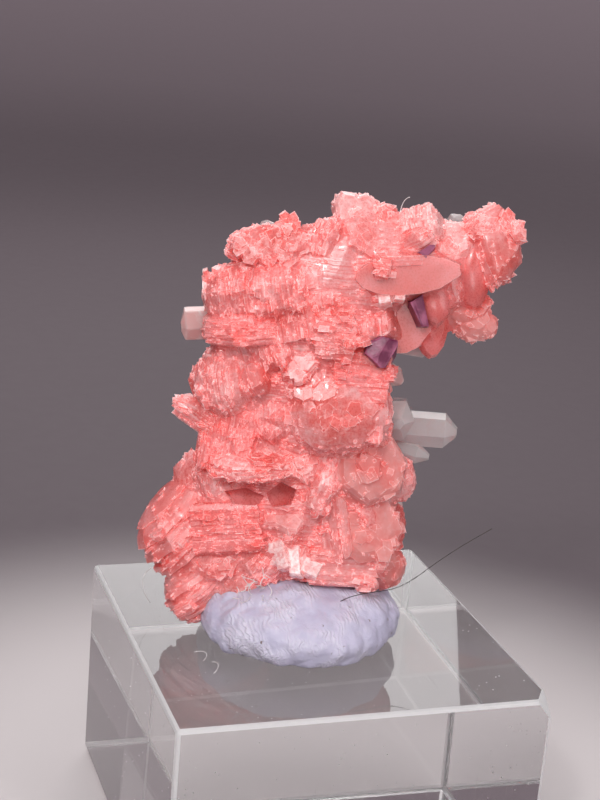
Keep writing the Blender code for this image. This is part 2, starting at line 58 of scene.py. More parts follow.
ORIGIN = (0.0, 0.0, 0.0)
SHARP = math.radians(20.0)

log = logging.getLogger("specimen")


# Layout of the specimen over the block

BLOCK_LOW, BLOCK_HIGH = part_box("acrylic_block")
BLOCK_TOP = BLOCK_HIGH[2] / MM
FOOT = Vector((-0.4, 2.3, BLOCK_TOP + 3.4))
SHOW_FACE_TURN = Euler((math.radians(-17.5), math.radians(-4.7), math.radians(-18.0)))
UPRIGHT_SLOPE = 0.313
SHOW_FACE = Matrix.LocRotScale(FOOT * MM, SHOW_FACE_TURN, Vector((MM, MM, MM)))
TRUNK_DEPTH = -0.9


@dataclass(frozen=True)
class LeafForm:
    """How the leaves of one habit are shaped.

    Args:
        corners: corners of a leaf's outline.
        cuts: cuts in each side of the outline.
        crown: how squarely the stack ends; higher is flatter.
        step: how far one leaf stands in or out of the next, as a share of its reach.
        rough: unevenness of the outline, as a share of its width.
        leaf: the thickness of one leaf, in millimetres.
        square: whether the sides, and not the corners, face across and up.
    """

    corners: int
    cuts: int
    crown: float
    step: float
    rough: float
    leaf: float = 0.45
    square: bool = False


class Habit(Enum):
    """The crystal habits of the rhodochrosite."""

    PLATE = LeafForm(corners=7, cuts=1, crown=4.0, step=0.06, rough=0.02)
    SLAB = LeafForm(corners=8, cuts=1, crown=7.0, step=0.03, rough=0.015, square=True)
    BLOCK = LeafForm(corners=4, cuts=3, crown=7.0, step=0.03, rough=0.015, square=True)
    FAN = LeafForm(corners=9, cuts=1, crown=2.6, step=0.05, rough=0.02)
    LENS = LeafForm(corners=14, cuts=1, crown=2.3, step=0.008, rough=0.004)
    RHOMB = LeafForm(corners=4, cuts=3, crown=5.0, step=0.04, rough=0.015)
    FACET = LeafForm(corners=15, cuts=1, crown=7.0, step=0.0, rough=0.005, leaf=2.0)
    RIBS = LeafForm(corners=11, cuts=1, crown=2.8, step=0.08, rough=0.015, leaf=0.42)
    PIT = LeafForm(corners=5, cuts=1, crown=9.0, step=0.0, rough=0.03, leaf=9.0)


class Tone(Enum):
    """The looks that a growth's surface may have: how grainy it is, how pale and how veiled."""

    GLASSY = (0.05, 0.0, 0.0)
    DEEP = (0.55, 0.15, 0.0)
    CLOUDY = (0.45, 0.45, 0.1)
    VEILED = (0.5, 0.25, 0.5)
    STRIATED = (0.6, 0.35, 0.0)
    RIBBED = (0.42, 0.3, 0.1)
    SUGARY = (1.0, 0.42, 0.0)
    FROSTED = (0.7, 0.75, 0.0)
    # cleaved faces, painted white partly for their pale cleavage and partly as painted highlight
    CLEAVED = (0.15, 1.0, 0.0)


@dataclass(frozen=True)
class Growth:
    """A stack of crystal leaves: its centre, its width, height and thickness, and the way it faces."""

    habit: Habit
    at: tuple[float, float, float]
    size: tuple[float, float, float]
    facing: tuple[float, float, float]
    spin: float = 0.0
    tone: Tone = Tone.STRIATED


@dataclass(frozen=True)
class Section:
    """One level of the rhodochrosite's mass: height, middle, half width and half depth."""

    z: float
    x: float
    half_width: float
    half_depth: float


TONE_NAMES = ("grain", "pale", "veil")
TRAITS = (*((name, "value", 1) for name in (*TONE_NAMES, "shade", "rim")), ("axis", "vector", 3))

PLATE, SLAB, BLOCK, FAN, LENS, RHOMB, FACET, RIBS, PIT = Habit
GLASSY, DEEP, CLOUDY, VEILED, STRIATED, RIBBED, SUGARY, FROSTED, CLEAVED = Tone


def start_fresh() -> None:
    """Deselects every object, because an operator acts on all that is selected."""
    bpy.ops.object.select_all(action="DESELECT")


def pick(obj: bpy.types.Object) -> None:
    """Selects an object alone and makes it the active one.

    Args:
        obj: the object.
    """
    start_fresh()
    obj.select_set(True)
    bpy.context.view_layer.objects.active = obj


def edit(obj: bpy.types.Object) -> bpy.types.Object:
    """Opens an object alone in edit mode with all of it selected.

    Args:
        obj: the object.

    Returns:
        The same object.
    """
    pick(obj)
    bpy.ops.object.mode_set(mode="EDIT")
    bpy.ops.mesh.select_all(action="SELECT")
    return obj


def start_ring(corners: int, radius: float, fill: str = "NGON") -> bpy.types.Object:
    """Starts a mesh with one flat ring, which stays open in edit mode.

    Args:
        corners: the ring's corners.
        radius: its radius.
        fill: how it is filled.

    Returns:
        The new object.
    """
    start_fresh()
    bpy.ops.mesh.primitive_circle_add(vertices=corners, radius=radius, fill_type=fill)
    return edit(bpy.context.object)


def start_cube() -> bpy.types.Object:
    """Starts a mesh with a cube of side one, which stays open in edit mode.

    Returns:
        The new object.
    """
    start_fresh()
    bpy.ops.mesh.primitive_cube_add(size=1.0)
    return edit(bpy.context.object)


def scale(x: float, y: float, z: float, about: tuple[float, float, float] = ORIGIN) -> None:
    """Scales what is selected about a point."""
    bpy.ops.transform.resize(value=(x, y, z), center_override=about)


def extrude(x: float, y: float, z: float) -> None:
    """Draws what is selected out along a way."""
    bpy.ops.mesh.extrude_region_move(TRANSFORM_OT_translate={"value": (x, y, z)})


def leave() -> None:
    """Closes edit mode."""
    bpy.ops.object.mode_set(mode="OBJECT")


def leave_solid() -> None:
    """Turns every face of the open mesh outward, and closes edit mode."""
    bpy.ops.mesh.select_all(action="SELECT")
    bpy.ops.mesh.normals_make_consistent(inside=False)
    leave()


def apply_modifier(obj: bpy.types.Object, kind: str, **settings: object) -> None:
    """Adds a modifier with the given settings and applies it.

    Args:
        obj: the object.
        kind: the modifier's type.
        settings: its properties.
    """
    pick(obj)
    modifier = obj.modifiers.new(kind.title(), kind)
    for name, value in settings.items():
        setattr(modifier, name, value)
    bpy.ops.object.modifier_apply(modifier=modifier.name)


def placed_copy(source: bpy.types.Object, name: str, place: Matrix) -> bpy.types.Object:
    """Copies an object with its own mesh, moved to its place in the mesh itself.

    Args:
        source: the object.
        name: the copy's name.
        place: where the copy goes.

    Returns:
        The copy.
    """
    mesh = source.data.copy()
    mesh.transform(place)
    obj = bpy.data.objects.new(name, mesh)
    bpy.context.scene.collection.objects.link(obj)
    return obj


def soften(piece: bpy.types.Object, width: float, segments: int) -> None:
    """Rounds the sharp edges of a piece by a width in millimetres."""
    apply_modifier(
        piece, "BEVEL", width=width * MM, segments=segments, limit_method="ANGLE", angle_limit=SHARP,
    )


def drop(*objects: bpy.types.Object) -> None:
    """Removes helper objects."""
    for obj in objects:
        bpy.data.objects.remove(obj, do_unlink=True)


def unite(base: bpy.types.Object, others: list[bpy.types.Object]) -> None:
    """Joins solids into the base, and removes them.

    Args:
        base: the solid that stays.
        others: the solids that become part of it.
    """
    group = bpy.data.collections.new("operands")
    for other in others:
        group.objects.link(other)
    apply_modifier(
        base, "BOOLEAN", operation="UNION", operand_type="COLLECTION", collection=group, solver="MANIFOLD",
    )
    bpy.data.collections.remove(group)
    drop(*others)


def read_faces(mesh: bpy.types.Mesh, name: str, key: str, width: int) -> np.ndarray:
    """Reads a value of every face, from an attribute or, where the mesh has none, a property.

    Args:
        mesh: the mesh.
        name: the attribute's name.
        key: the value's key on each face.
        width: how many numbers a face has.

    Returns:
        The values, with a row for each face where it has more than one.
    """
    items = mesh.attributes[name].data if name in mesh.attributes else mesh.polygons
    values = np.zeros(len(items) * width, np.float32)
    items.foreach_get(key, values)
    return values.reshape(-1, width) if width > 1 else values


def mark(obj: bpy.types.Object, tone: tuple[float, float, float], axis: Vector, shade: float) -> None:
    """Writes a crystal's look and the axis that its leaves are stacked along on its faces.

    Args:
        obj: the crystal.
        tone: how grainy, how pale and how veiled it is.
        axis: the axis of its leaves.
        shade: a number of its own, from 0 to 1.
    """
    count = len(obj.data.polygons)
    for name, value in zip((*TONE_NAMES, "shade"), (*tone, shade)):
        obj.data.attributes.new(name, "FLOAT", "FACE").data.foreach_set("value", [value] * count)
    obj.data.attributes.new("axis", "FLOAT_VECTOR", "FACE").data.foreach_set("vector", list(axis) * count)


def copy_traits(source: bpy.types.Object, target: bpy.types.Object) -> None:
    """Gives each face of a mesh the look of the nearest face of another.

    Args:
        source: the mesh that has the looks.
        target: the mesh that gets them.
    """
    tree = BVHTree.FromObject(source, bpy.context.evaluated_depsgraph_get())
    near = [tree.find_nearest(face.center)[2] for face in target.data.polygons]
    for name, key, width in TRAITS:
        values = read_faces(source.data, name, key, width)[near]
        kind = "FLOAT_VECTOR" if width > 1 else "FLOAT"
        target.data.attributes.new(name, kind, "FACE").data.foreach_set(key, values.ravel())


def mark_rims(obj: bpy.types.Object) -> None:
    """Marks the faces of a stack or plate that look outward, across its axis, and not along it."""
    flat = np.abs(read_faces(obj.data, "", "normal", 3)[:, 2])
    obj.data.attributes.new("rim", "FLOAT", "FACE").data.foreach_set("value", 1.0 - flat)


def specimen_point(x: float, y: float, z: float) -> Vector:
    """Returns the world point of a place in the specimen, whose spine stands upright."""
    return SHOW_FACE @ Vector((x, y - UPRIGHT_SLOPE * z, z))


def growth_place(at: tuple[float, float, float]) -> Matrix:
    """Returns the transform that sets a crystal, modelled at the origin, at its place."""
    centre = Vector(at) - Vector((0.0, UPRIGHT_SLOPE * at[2], 0.0))
    return SHOW_FACE @ Matrix.Translation(centre)


def paint(piece: bpy.types.Object, name: str, *finishes: bpy.types.Material) -> None:
    """Names a finished piece and gives it its materials.

    Args:
        piece: the piece.
        name: its name.
        finishes: its materials, in order.
    """
    piece.name = name
    piece.data.materials.clear()
    for finish in finishes:
        piece.data.materials.append(finish)


def carry(piece: bpy.types.Object, slot: str, *nodes: str) -> None:
    """Gives a finished piece to the frame.

    Args:
        piece: the piece.
        slot: its material slot; not used.
        nodes: the CAD nodes that it stands for.
    """
    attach(piece, ROOT)
    if nodes:
        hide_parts(*nodes)
    log.info("%s: %d faces", piece.name, len(piece.data.polygons))


class Signal:
    """An output socket of a material, whose arithmetic adds Math nodes."""

    def __init__(self, canvas: "Canvas", socket: bpy.types.NodeSocket) -> None:
        """Wraps a socket of a canvas."""
        self.canvas = canvas
        self.socket = socket

    def __add__(self, other: "Signal | float") -> "Signal":
        """Returns the sum."""
        return self.canvas.maths("ADD", self, other)

    __radd__ = __add__

    def __sub__(self, other: "Signal | float") -> "Signal":
        """Returns the difference."""
        return self.canvas.maths("SUBTRACT", self, other)

    def __rsub__(self, other: float) -> "Signal":
        """Returns the difference from a number."""
        return self.canvas.maths("SUBTRACT", other, self)

    def __mul__(self, other: "Signal | float") -> "Signal":
        """Returns the product."""
        return self.canvas.maths("MULTIPLY", self, other)

    __rmul__ = __mul__

    def ramp(self, low: float, high: float) -> "Signal":
        """Returns 0 below low, 1 above high and a smooth rise between them."""
        node = self.canvas.node(
            "ShaderNodeMapRange",
            {"interpolation_type": "SMOOTHSTEP"},
            {"Value": self, "From Min": low, "From Max": high},
        )
        return Signal(self.canvas, node.outputs["Result"])


class Canvas:
    """The node tree of one material, and how it finds the edges of a piece."""

    edge_samples: int = 4
    pointed: tuple[float, float] = (0.5, 0.56)
    turned: tuple[float, float] = (0.02, 0.2)

    def __init__(self, name: str) -> None:
        """Starts a material with a Principled shader.

        Args:
            name: the material's name.
        """
        self.material = bpy.data.materials.new(name)
        self.material.use_nodes = True
        self.tree = self.material.node_tree
        self.shader = self.tree.nodes["Principled BSDF"]

    def node(self, kind: str, settings: dict | None = None, inputs: dict | None = None) -> bpy.types.Node:
        """Adds a node.

        Args:
            kind: the node's type.
            settings: its properties, set first.
            inputs: its sockets' values or links, by name or number.

        Returns:
            The new node.
        """
        node = self.tree.nodes.new(kind)
        for name, value in (settings or {}).items():
            setattr(node, name, value)
        for name, value in (inputs or {}).items():
            self.feed(node.inputs[name], value)
        return node

    def feed(self, socket: bpy.types.NodeSocket, value: object) -> None:
        """Links a socket to a signal, or sets its value.

        Args:
            socket: the socket.
            value: a signal, another node's socket, a colour or a number.
        """
        if isinstance(value, Signal):
            self.tree.links.new(value.socket, socket)
        elif isinstance(value, bpy.types.NodeSocket):
            self.tree.links.new(value, socket)
        elif socket.type == "RGBA":
            socket.default_value = (*value, 1.0)
        else:
            socket.default_value = value

    def maths(self, operation: str, *values: object) -> Signal:
        """Returns the result of a Math node on signals and numbers."""
        node = self.node("ShaderNodeMath", {"operation": operation}, dict(enumerate(values)))
        return Signal(self, node.outputs[0])

    def mix(self, mask: Signal, low: object, high: object) -> Signal:
        """Returns the colour between two colours that a mask picks."""
        node = self.node("ShaderNodeMix", {"data_type": "RGBA"}, {0: mask, 6: low, 7: high})
        return Signal(self, node.outputs[2])

    def place(self, stretch: tuple[float, float, float] = (1.0, 1.0, 1.0)) -> Signal:
        """Finds the place on the piece in millimetres.

        Args:
            stretch: how much each axis is stretched.

        Returns:
            The place.
        """
        coordinates = self.node("ShaderNodeTexCoord")
        node = self.node(
            "ShaderNodeMapping", None,
            {"Vector": coordinates.outputs["Object"], "Scale": tuple(side / MM for side in stretch)},
        )
        return Signal(self, node.outputs["Vector"])

    def noise(self, place: Signal, scale: float, detail: float = 2.0, distortion: float = 0.0) -> Signal:
        """Returns a noise of the given number of patches to the millimetre."""
        node = self.node(
            "ShaderNodeTexNoise", None,
            {"Vector": place, "Scale": scale, "Detail": detail, "Distortion": distortion},
        )
        return Signal(self, node.outputs["Fac"])

    def cells(self, place: Signal, scale: float) -> Signal:
        """Returns the distance from a grain's middle, for a number of grains to the millimetre."""
        node = self.node("ShaderNodeTexVoronoi", {"feature": "F1"}, {"Vector": place, "Scale": scale})
        return Signal(self, node.outputs["Distance"])

    def waves(self, place: Signal, scale: float, distortion: float, detail: float = 2.0) -> Signal:
        """Returns bands across X of the given number to the millimetre."""
        node = self.node(
            "ShaderNodeTexWave", {"wave_type": "BANDS", "bands_direction": "X"},
            {"Vector": place, "Scale": scale, "Distortion": distortion, "Detail": detail},
        )
        return Signal(self, node.outputs["Fac"])

    def attribute(self, name: str, output: str = "Fac") -> Signal:
        """Returns a number, or with output Vector a direction, that the mesh holds at each point."""
        node = self.node("ShaderNodeAttribute", {"attribute_name": name})
        return Signal(self, node.outputs[output])

    def dot(self, one: Signal, other: Signal) -> Signal:
        """Returns the dot product of two vectors."""
        node = self.node("ShaderNodeVectorMath", {"operation": "DOT_PRODUCT"}, {0: one, 1: other})
        return Signal(self, node.outputs["Value"])

    def layers(self, level: Signal, detail: float = 2.0) -> Signal:
        """Returns a noise that changes with one number only, as layers of growth do."""
        node = self.node(
            "ShaderNodeTexNoise", {"noise_dimensions": "1D"}, {"W": level, "Scale": 1.0, "Detail": detail},
        )
        return Signal(self, node.outputs["Fac"])

    def length(self, vector: Signal) -> Signal:
        """Returns the length of a vector."""
        node = self.node("ShaderNodeVectorMath", {"operation": "LENGTH"}, {0: vector})
        return Signal(self, node.outputs["Value"])

    def bump(self, height: Signal, depth: float, strength: float = 1.0) -> Signal:
        """Returns a normal roughened by a height, whose full depth is in millimetres."""
        node = self.node(
            "ShaderNodeBump", None, {"Strength": strength, "Distance": depth * MM, "Height": height},
        )
        return Signal(self, node.outputs["Normal"])

    def edges(self, width: float) -> Signal:
        """Finds the outer edges of the piece.

        Args:
            width: how far from an edge it still counts, in millimetres.

        Returns:
            How near an outer edge is, from 0 to 1.
        """
        rounded = self.node("ShaderNodeBevel", {"samples": self.edge_samples}, {"Radius": width * MM})
        geometry = self.node("ShaderNodeNewGeometry")
        outer = Signal(self, geometry.outputs["Pointiness"]).ramp(*self.pointed)
        turn = 1.0 - self.dot(rounded.outputs["Normal"], geometry.outputs["Normal"])
        return turn.ramp(*self.turned) * outer

    def finish(self, **inputs: object) -> bpy.types.Material:
        """Feeds the shader's sockets.

        Args:
            inputs: what each socket gets, by its name with underscores for spaces.

        Returns:
            The material.
        """
        for name, value in inputs.items():
            self.feed(self.shader.inputs[name.replace("_", " ")], value)
        return self.material


@dataclass(frozen=True)
class RhodochrositeFinish:
    """Translucent pink-red crystal: thin plates with pale rims over deeper red. Its outer edges are whitened,
    partly as frost and partly as painted glow and highlight, and cleaved faces are whitened partly as painted
    highlight.

    Lines and scales count to the millimetre; glow, edge and relief are in millimetres.
    """

    deep: tuple[float, float, float] = (0.70, 0.105, 0.090)
    body: tuple[float, float, float] = (0.80, 0.200, 0.195)
    pale: tuple[float, float, float] = (0.89, 0.500, 0.490)
    # white laid on outer edges and cleaved faces: partly frost, partly painted glow and highlight
    frost_and_highlight: tuple[float, float, float] = (0.99, 0.820, 0.810)
    veiled: tuple[float, float, float] = (0.62, 0.270, 0.245)
    glow: float = 1.0
    scatter: tuple[float, float, float] = (1.0, 0.45, 0.4)
    edge: float = 0.12
    lines: float = 4.5
    line_wobble: float = 1.6
    line_shift: float = 5.0
    patch_scale: float = 0.3
    wobble_scale: float = 1.1
    fleck_scale: float = 2.6
    speck_scale: float = 6.0
    relief: float = 0.07
    polish: float = 0.16
    gloss: float = 0.3
    gloss_roughness: float = 0.1
    ior: float = 1.6

    def build(self) -> bpy.types.Material:
        """Builds the material.

        Returns:
            The material.
        """
        canvas = Canvas("rhodochrosite")
        place = canvas.place()
        grain, pale, veil, shade, rim = (canvas.attribute(name) for name in (*TONE_NAMES, "shade", "rim"))
        patches = canvas.noise(place, self.patch_scale, 3.0, 0.4)
        wobble = canvas.noise(place, self.wobble_scale)
        flecks = canvas.noise(place, self.fleck_scale, 2.0, 0.6)
        specks = canvas.noise(place, self.speck_scale, 3.0)
        along = canvas.dot(place, canvas.attribute("axis", "Vector"))
        layers = canvas.layers(along * self.lines + wobble * self.line_wobble + shade * self.line_shift)
        edges = canvas.edges(self.edge)

        body = canvas.mix((patches + rim * 0.15).ramp(0.3, 0.75), self.deep, self.body)
        paleness = pale * 0.75 + (patches - 0.5) * 0.8 + (shade - 0.5) * 0.4 * grain
        paleness = paleness + (layers - 0.5) * rim * (0.5 + 1.2 * grain)
        paleness = paleness + (flecks - 0.5) * (0.3 + 1.1 * grain)
        body = canvas.mix(paleness.ramp(0.0, 1.0), body, self.pale)
        body = canvas.mix(veil * patches.ramp(0.25, 0.6), body, self.veiled)
        # painted light: outer edges whitened partly as frost and partly as painted glow and highlight of thin
        # lit edges
        frost_and_edge_glow = edges * (0.45 + pale * 0.6) * specks.ramp(0.3, 0.5)
        # painted highlight: cleaved faces whitened partly for pale cleavage and partly as painted highlight
        cleaved_highlight = pale.ramp(0.7, 1.0) * flecks.ramp(0.35, 0.65) * 0.7
        colour = canvas.mix(canvas.maths("MAXIMUM", frost_and_edge_glow, cleaved_highlight), body, self.frost_and_highlight)

        height = layers * rim * 0.8 + (flecks * 0.3 + specks * 0.15) * (grain + 0.3)
        canvas.shader.subsurface_method = "BURLEY"
        return canvas.finish(
            Base_Color=colour,
            Roughness=self.polish + 0.25 * specks + 0.2 * veil,
            Normal=canvas.bump(height, self.relief, 0.8),
            IOR=self.ior,
            Subsurface_Weight=1.0,
            Subsurface_Radius=self.scatter,
            Subsurface_Scale=self.glow * MM,
            Coat_Weight=self.gloss - 0.5 * veil,
            Coat_Roughness=self.gloss_roughness,
        )


@dataclass(frozen=True)
class QuartzFinish:
    """Quartz with faint growth lines across its faces and a few veils.

    Scales count to the millimetre; relief and glow are in millimetres.

    Args:
        name: the finish's name.
        clear: the colour of the crystal where it is clear; by default tinted with painted pink of the mass
            seen through it.
        veil: the colour of the veils in it.
        clearness: how much light passes through.
        haze: how rough its faces are.
    """

    name: str = "quartz"
    # painted reflection: the pink tints of these defaults are the pink of the mass seen through the crystal,
    # painted in
    clear: tuple[float, float, float] = (0.99, 0.86, 0.85)
    veil: tuple[float, float, float] = (0.99, 0.81, 0.80)
    clearness: float = 0.65
    haze: float = 0.01
    veil_scale: float = 1.3
    line_scale: float = 3.5
    relief: float = 0.03
    ior: float = 1.544
    glow: float = 0.8
    scatter: tuple[float, float, float] = (1.0, 0.8, 0.8)

    def build(self) -> bpy.types.Material:
        """Builds the material.

        Returns:
            The material.
        """
        canvas = Canvas(self.name)
        place = canvas.place()
        veils = canvas.noise(place, self.veil_scale, 3.0, 0.6)
        lines = canvas.waves(canvas.place((1.0, 1.0, 0.2)), self.line_scale, 2.0)
        return canvas.finish(
            Base_Color=canvas.mix(veils.ramp(0.5, 0.7), self.clear, self.veil),
            Roughness=self.haze + 0.15 * veils.ramp(0.6, 0.8),
            Normal=canvas.bump(lines * 0.4 + veils, self.relief, 0.4),
            IOR=self.ior,
            Transmission_Weight=self.clearness,
            Subsurface_Weight=1.0,
            Subsurface_Radius=self.scatter,
            Subsurface_Scale=self.glow * MM,
        )


@dataclass(frozen=True)
class FluoriteFinish:
    """Deep purple fluorite, glassy, with paler zones.

    Scales count to the millimetre; relief and glow are in millimetres.
    """

    deep: tuple[float, float, float] = (0.17, 0.022, 0.070)
    light: tuple[float, float, float] = (0.38, 0.100, 0.185)
    zone_scale: float = 0.9
    pit_scale: float = 6.0
    relief: float = 0.03
    ior: float = 1.434
    glow: float = 0.6
    scatter: tuple[float, float, float] = (0.6, 0.3, 0.6)

    def build(self) -> bpy.types.Material:
        """Builds the material.

        Returns:
            The material.
        """
        canvas = Canvas("fluorite")
        place = canvas.place()
        zones = canvas.noise(place, self.zone_scale, 2.0, 0.3)
        pits = canvas.noise(place, self.pit_scale)
        return canvas.finish(
            Base_Color=canvas.mix(zones.ramp(0.35, 0.65), self.deep, self.light),
            Roughness=0.2 + 0.25 * pits,
            Normal=canvas.bump(pits, self.relief, 0.8),
            IOR=self.ior,
            Subsurface_Weight=0.4,
            Subsurface_Radius=self.scatter,
            Subsurface_Scale=self.glow * MM,
        )


@dataclass(frozen=True)
class AcrylicFinish:
    """Clear cast acrylic with fine scratches and dust, or its dull sawn and chipped edges.

    Scales count to the millimetre; the dust's relief is in millimetres.

    Args:
        name: the finish's name.
        colour: its colour.
        clearness: how much light passes through.
        haze: how rough it is where nothing has scratched it.
    """

    name: str = "clear_acrylic"
    colour: tuple[float, float, float] = (0.985, 0.985, 0.985)
    clearness: float = 1.0
    haze: float = 0.015
    wear_scale: float = 0.25
    scratch_scale: float = 0.11
    grit_scale: float = 5.0
    dusty_scale: float = 0.12
    dust_scale: float = 1.3
    relief: float = 0.002
    ior: float = 1.49

    def build(self) -> bpy.types.Material:
        """Builds the material.

        Returns:
            The material.
        """
        canvas = Canvas(self.name)
        place = canvas.place()
        worn = canvas.noise(place, self.wear_scale).ramp(0.5, 0.6)
        bands = canvas.waves(canvas.place((1.0, 0.45, 0.3)), self.scratch_scale, 0.8, 0.0)
        scratches = bands.ramp(0.9985, 1.0) * worn
        grit = canvas.noise(place, self.grit_scale, 3.0)
        dusty = canvas.noise(place, self.dusty_scale).ramp(0.42, 0.58)
        dust = canvas.cells(place, self.dust_scale).ramp(0.1, 0.05) * dusty
        return canvas.finish(
            Base_Color=self.colour,
            Roughness=self.haze + 0.2 * scratches + 0.6 * dust + self.haze * grit,
            Normal=canvas.bump(dust, self.relief, 0.3),
            IOR=self.ior,
            Transmission_Weight=self.clearness,
            Subsurface_Weight=1.0,
            Subsurface_Radius=(1.0, 1.0, 1.0),
            Subsurface_Scale=1.0 * MM,
        )


@dataclass(frozen=True)
class PuttyFinish:
    """Matt lilac-grey putty with finger ridges, specks and a slight waxy glow.

    Scales count to the millimetre; relief and glow are in millimetres.
    """

    colour: tuple[float, float, float] = (0.72, 0.68, 0.80)
    shade: tuple[float, float, float] = (0.54, 0.51, 0.66)
    speck: tuple[float, float, float] = (0.16, 0.09, 0.06)
    patch_scale: float = 0.35
    ridge_scale: float = 1.7
    grain_scale: float = 7.0
    grit_scale: float = 1.6
    speck_scale: float = 0.8
    relief: float = 0.09
    ior: float = 1.45
    glow: float = 0.6
    scatter: tuple[float, float, float] = (0.5, 0.4, 0.5)

    def build(self) -> bpy.types.Material:
        """Builds the material.

        Returns:
            The material.
        """
        canvas = Canvas("putty")
        place = canvas.place()
        patches = canvas.noise(place, self.patch_scale, 3.0)
        ridges = canvas.waves(canvas.place((0.5, 0.3, 1.0)), self.ridge_scale, 11.0, 3.0)
        grain = canvas.noise(place, self.grain_scale, 3.0)
        grit = canvas.noise(place, self.grit_scale, 2.0, 1.5)
        specks = canvas.cells(place, self.speck_scale).ramp(0.14, 0.08) * grit.ramp(0.5, 0.6)
        touched = patches.ramp(0.45, 0.6)
        colour = canvas.mix(patches.ramp(0.35, 0.7) * 0.8 + ridges * touched * 0.25, self.shade, self.colour)
        colour = canvas.mix(specks * 0.8, colour, self.speck)
        height = ridges * touched * 0.8 + grain * 0.2 + grit * 0.5
        return canvas.finish(
            Base_Color=colour,
            Roughness=0.36 + 0.2 * grain,
            Normal=canvas.bump(height, self.relief, 0.9),
            IOR=self.ior,
            Subsurface_Weight=0.25,
            Subsurface_Radius=self.scatter,
            Subsurface_Scale=self.glow * MM,
        )


@dataclass(frozen=True)
class StageFinish:
    """A matt floor with a painted pool of light: pale round the specimen, darkening into dark grey further
    out, and lighter grey again up the far backdrop.
    """

    pale: tuple[float, float, float] = (0.62, 0.57, 0.57)
    grey: tuple[float, float, float] = (0.108, 0.084, 0.095)
    far_grey: tuple[float, float, float] = (0.33, 0.265, 0.295)
    painted_pool_reach: float = 30.0
    painted_pool_fade: float = 75.0
    rise: tuple[float, float] = (260.0, 640.0)

    def build(self) -> bpy.types.Material:
        """Builds the material.

        Returns:
            The material.
        """
        canvas = Canvas("stage")
        place = canvas.place()
        reach = canvas.length(place)
        grain = canvas.noise(place, 0.4, 3.0)
        # painted pool of light: the floor is pale round the specimen and darkens into grey further out
        floor = canvas.mix(reach.ramp(self.painted_pool_reach, self.painted_pool_fade), self.pale, self.grey)
        return canvas.finish(
            Base_Color=canvas.mix(reach.ramp(*self.rise), floor, self.far_grey),
            Roughness=0.7 + 0.1 * grain,
        )


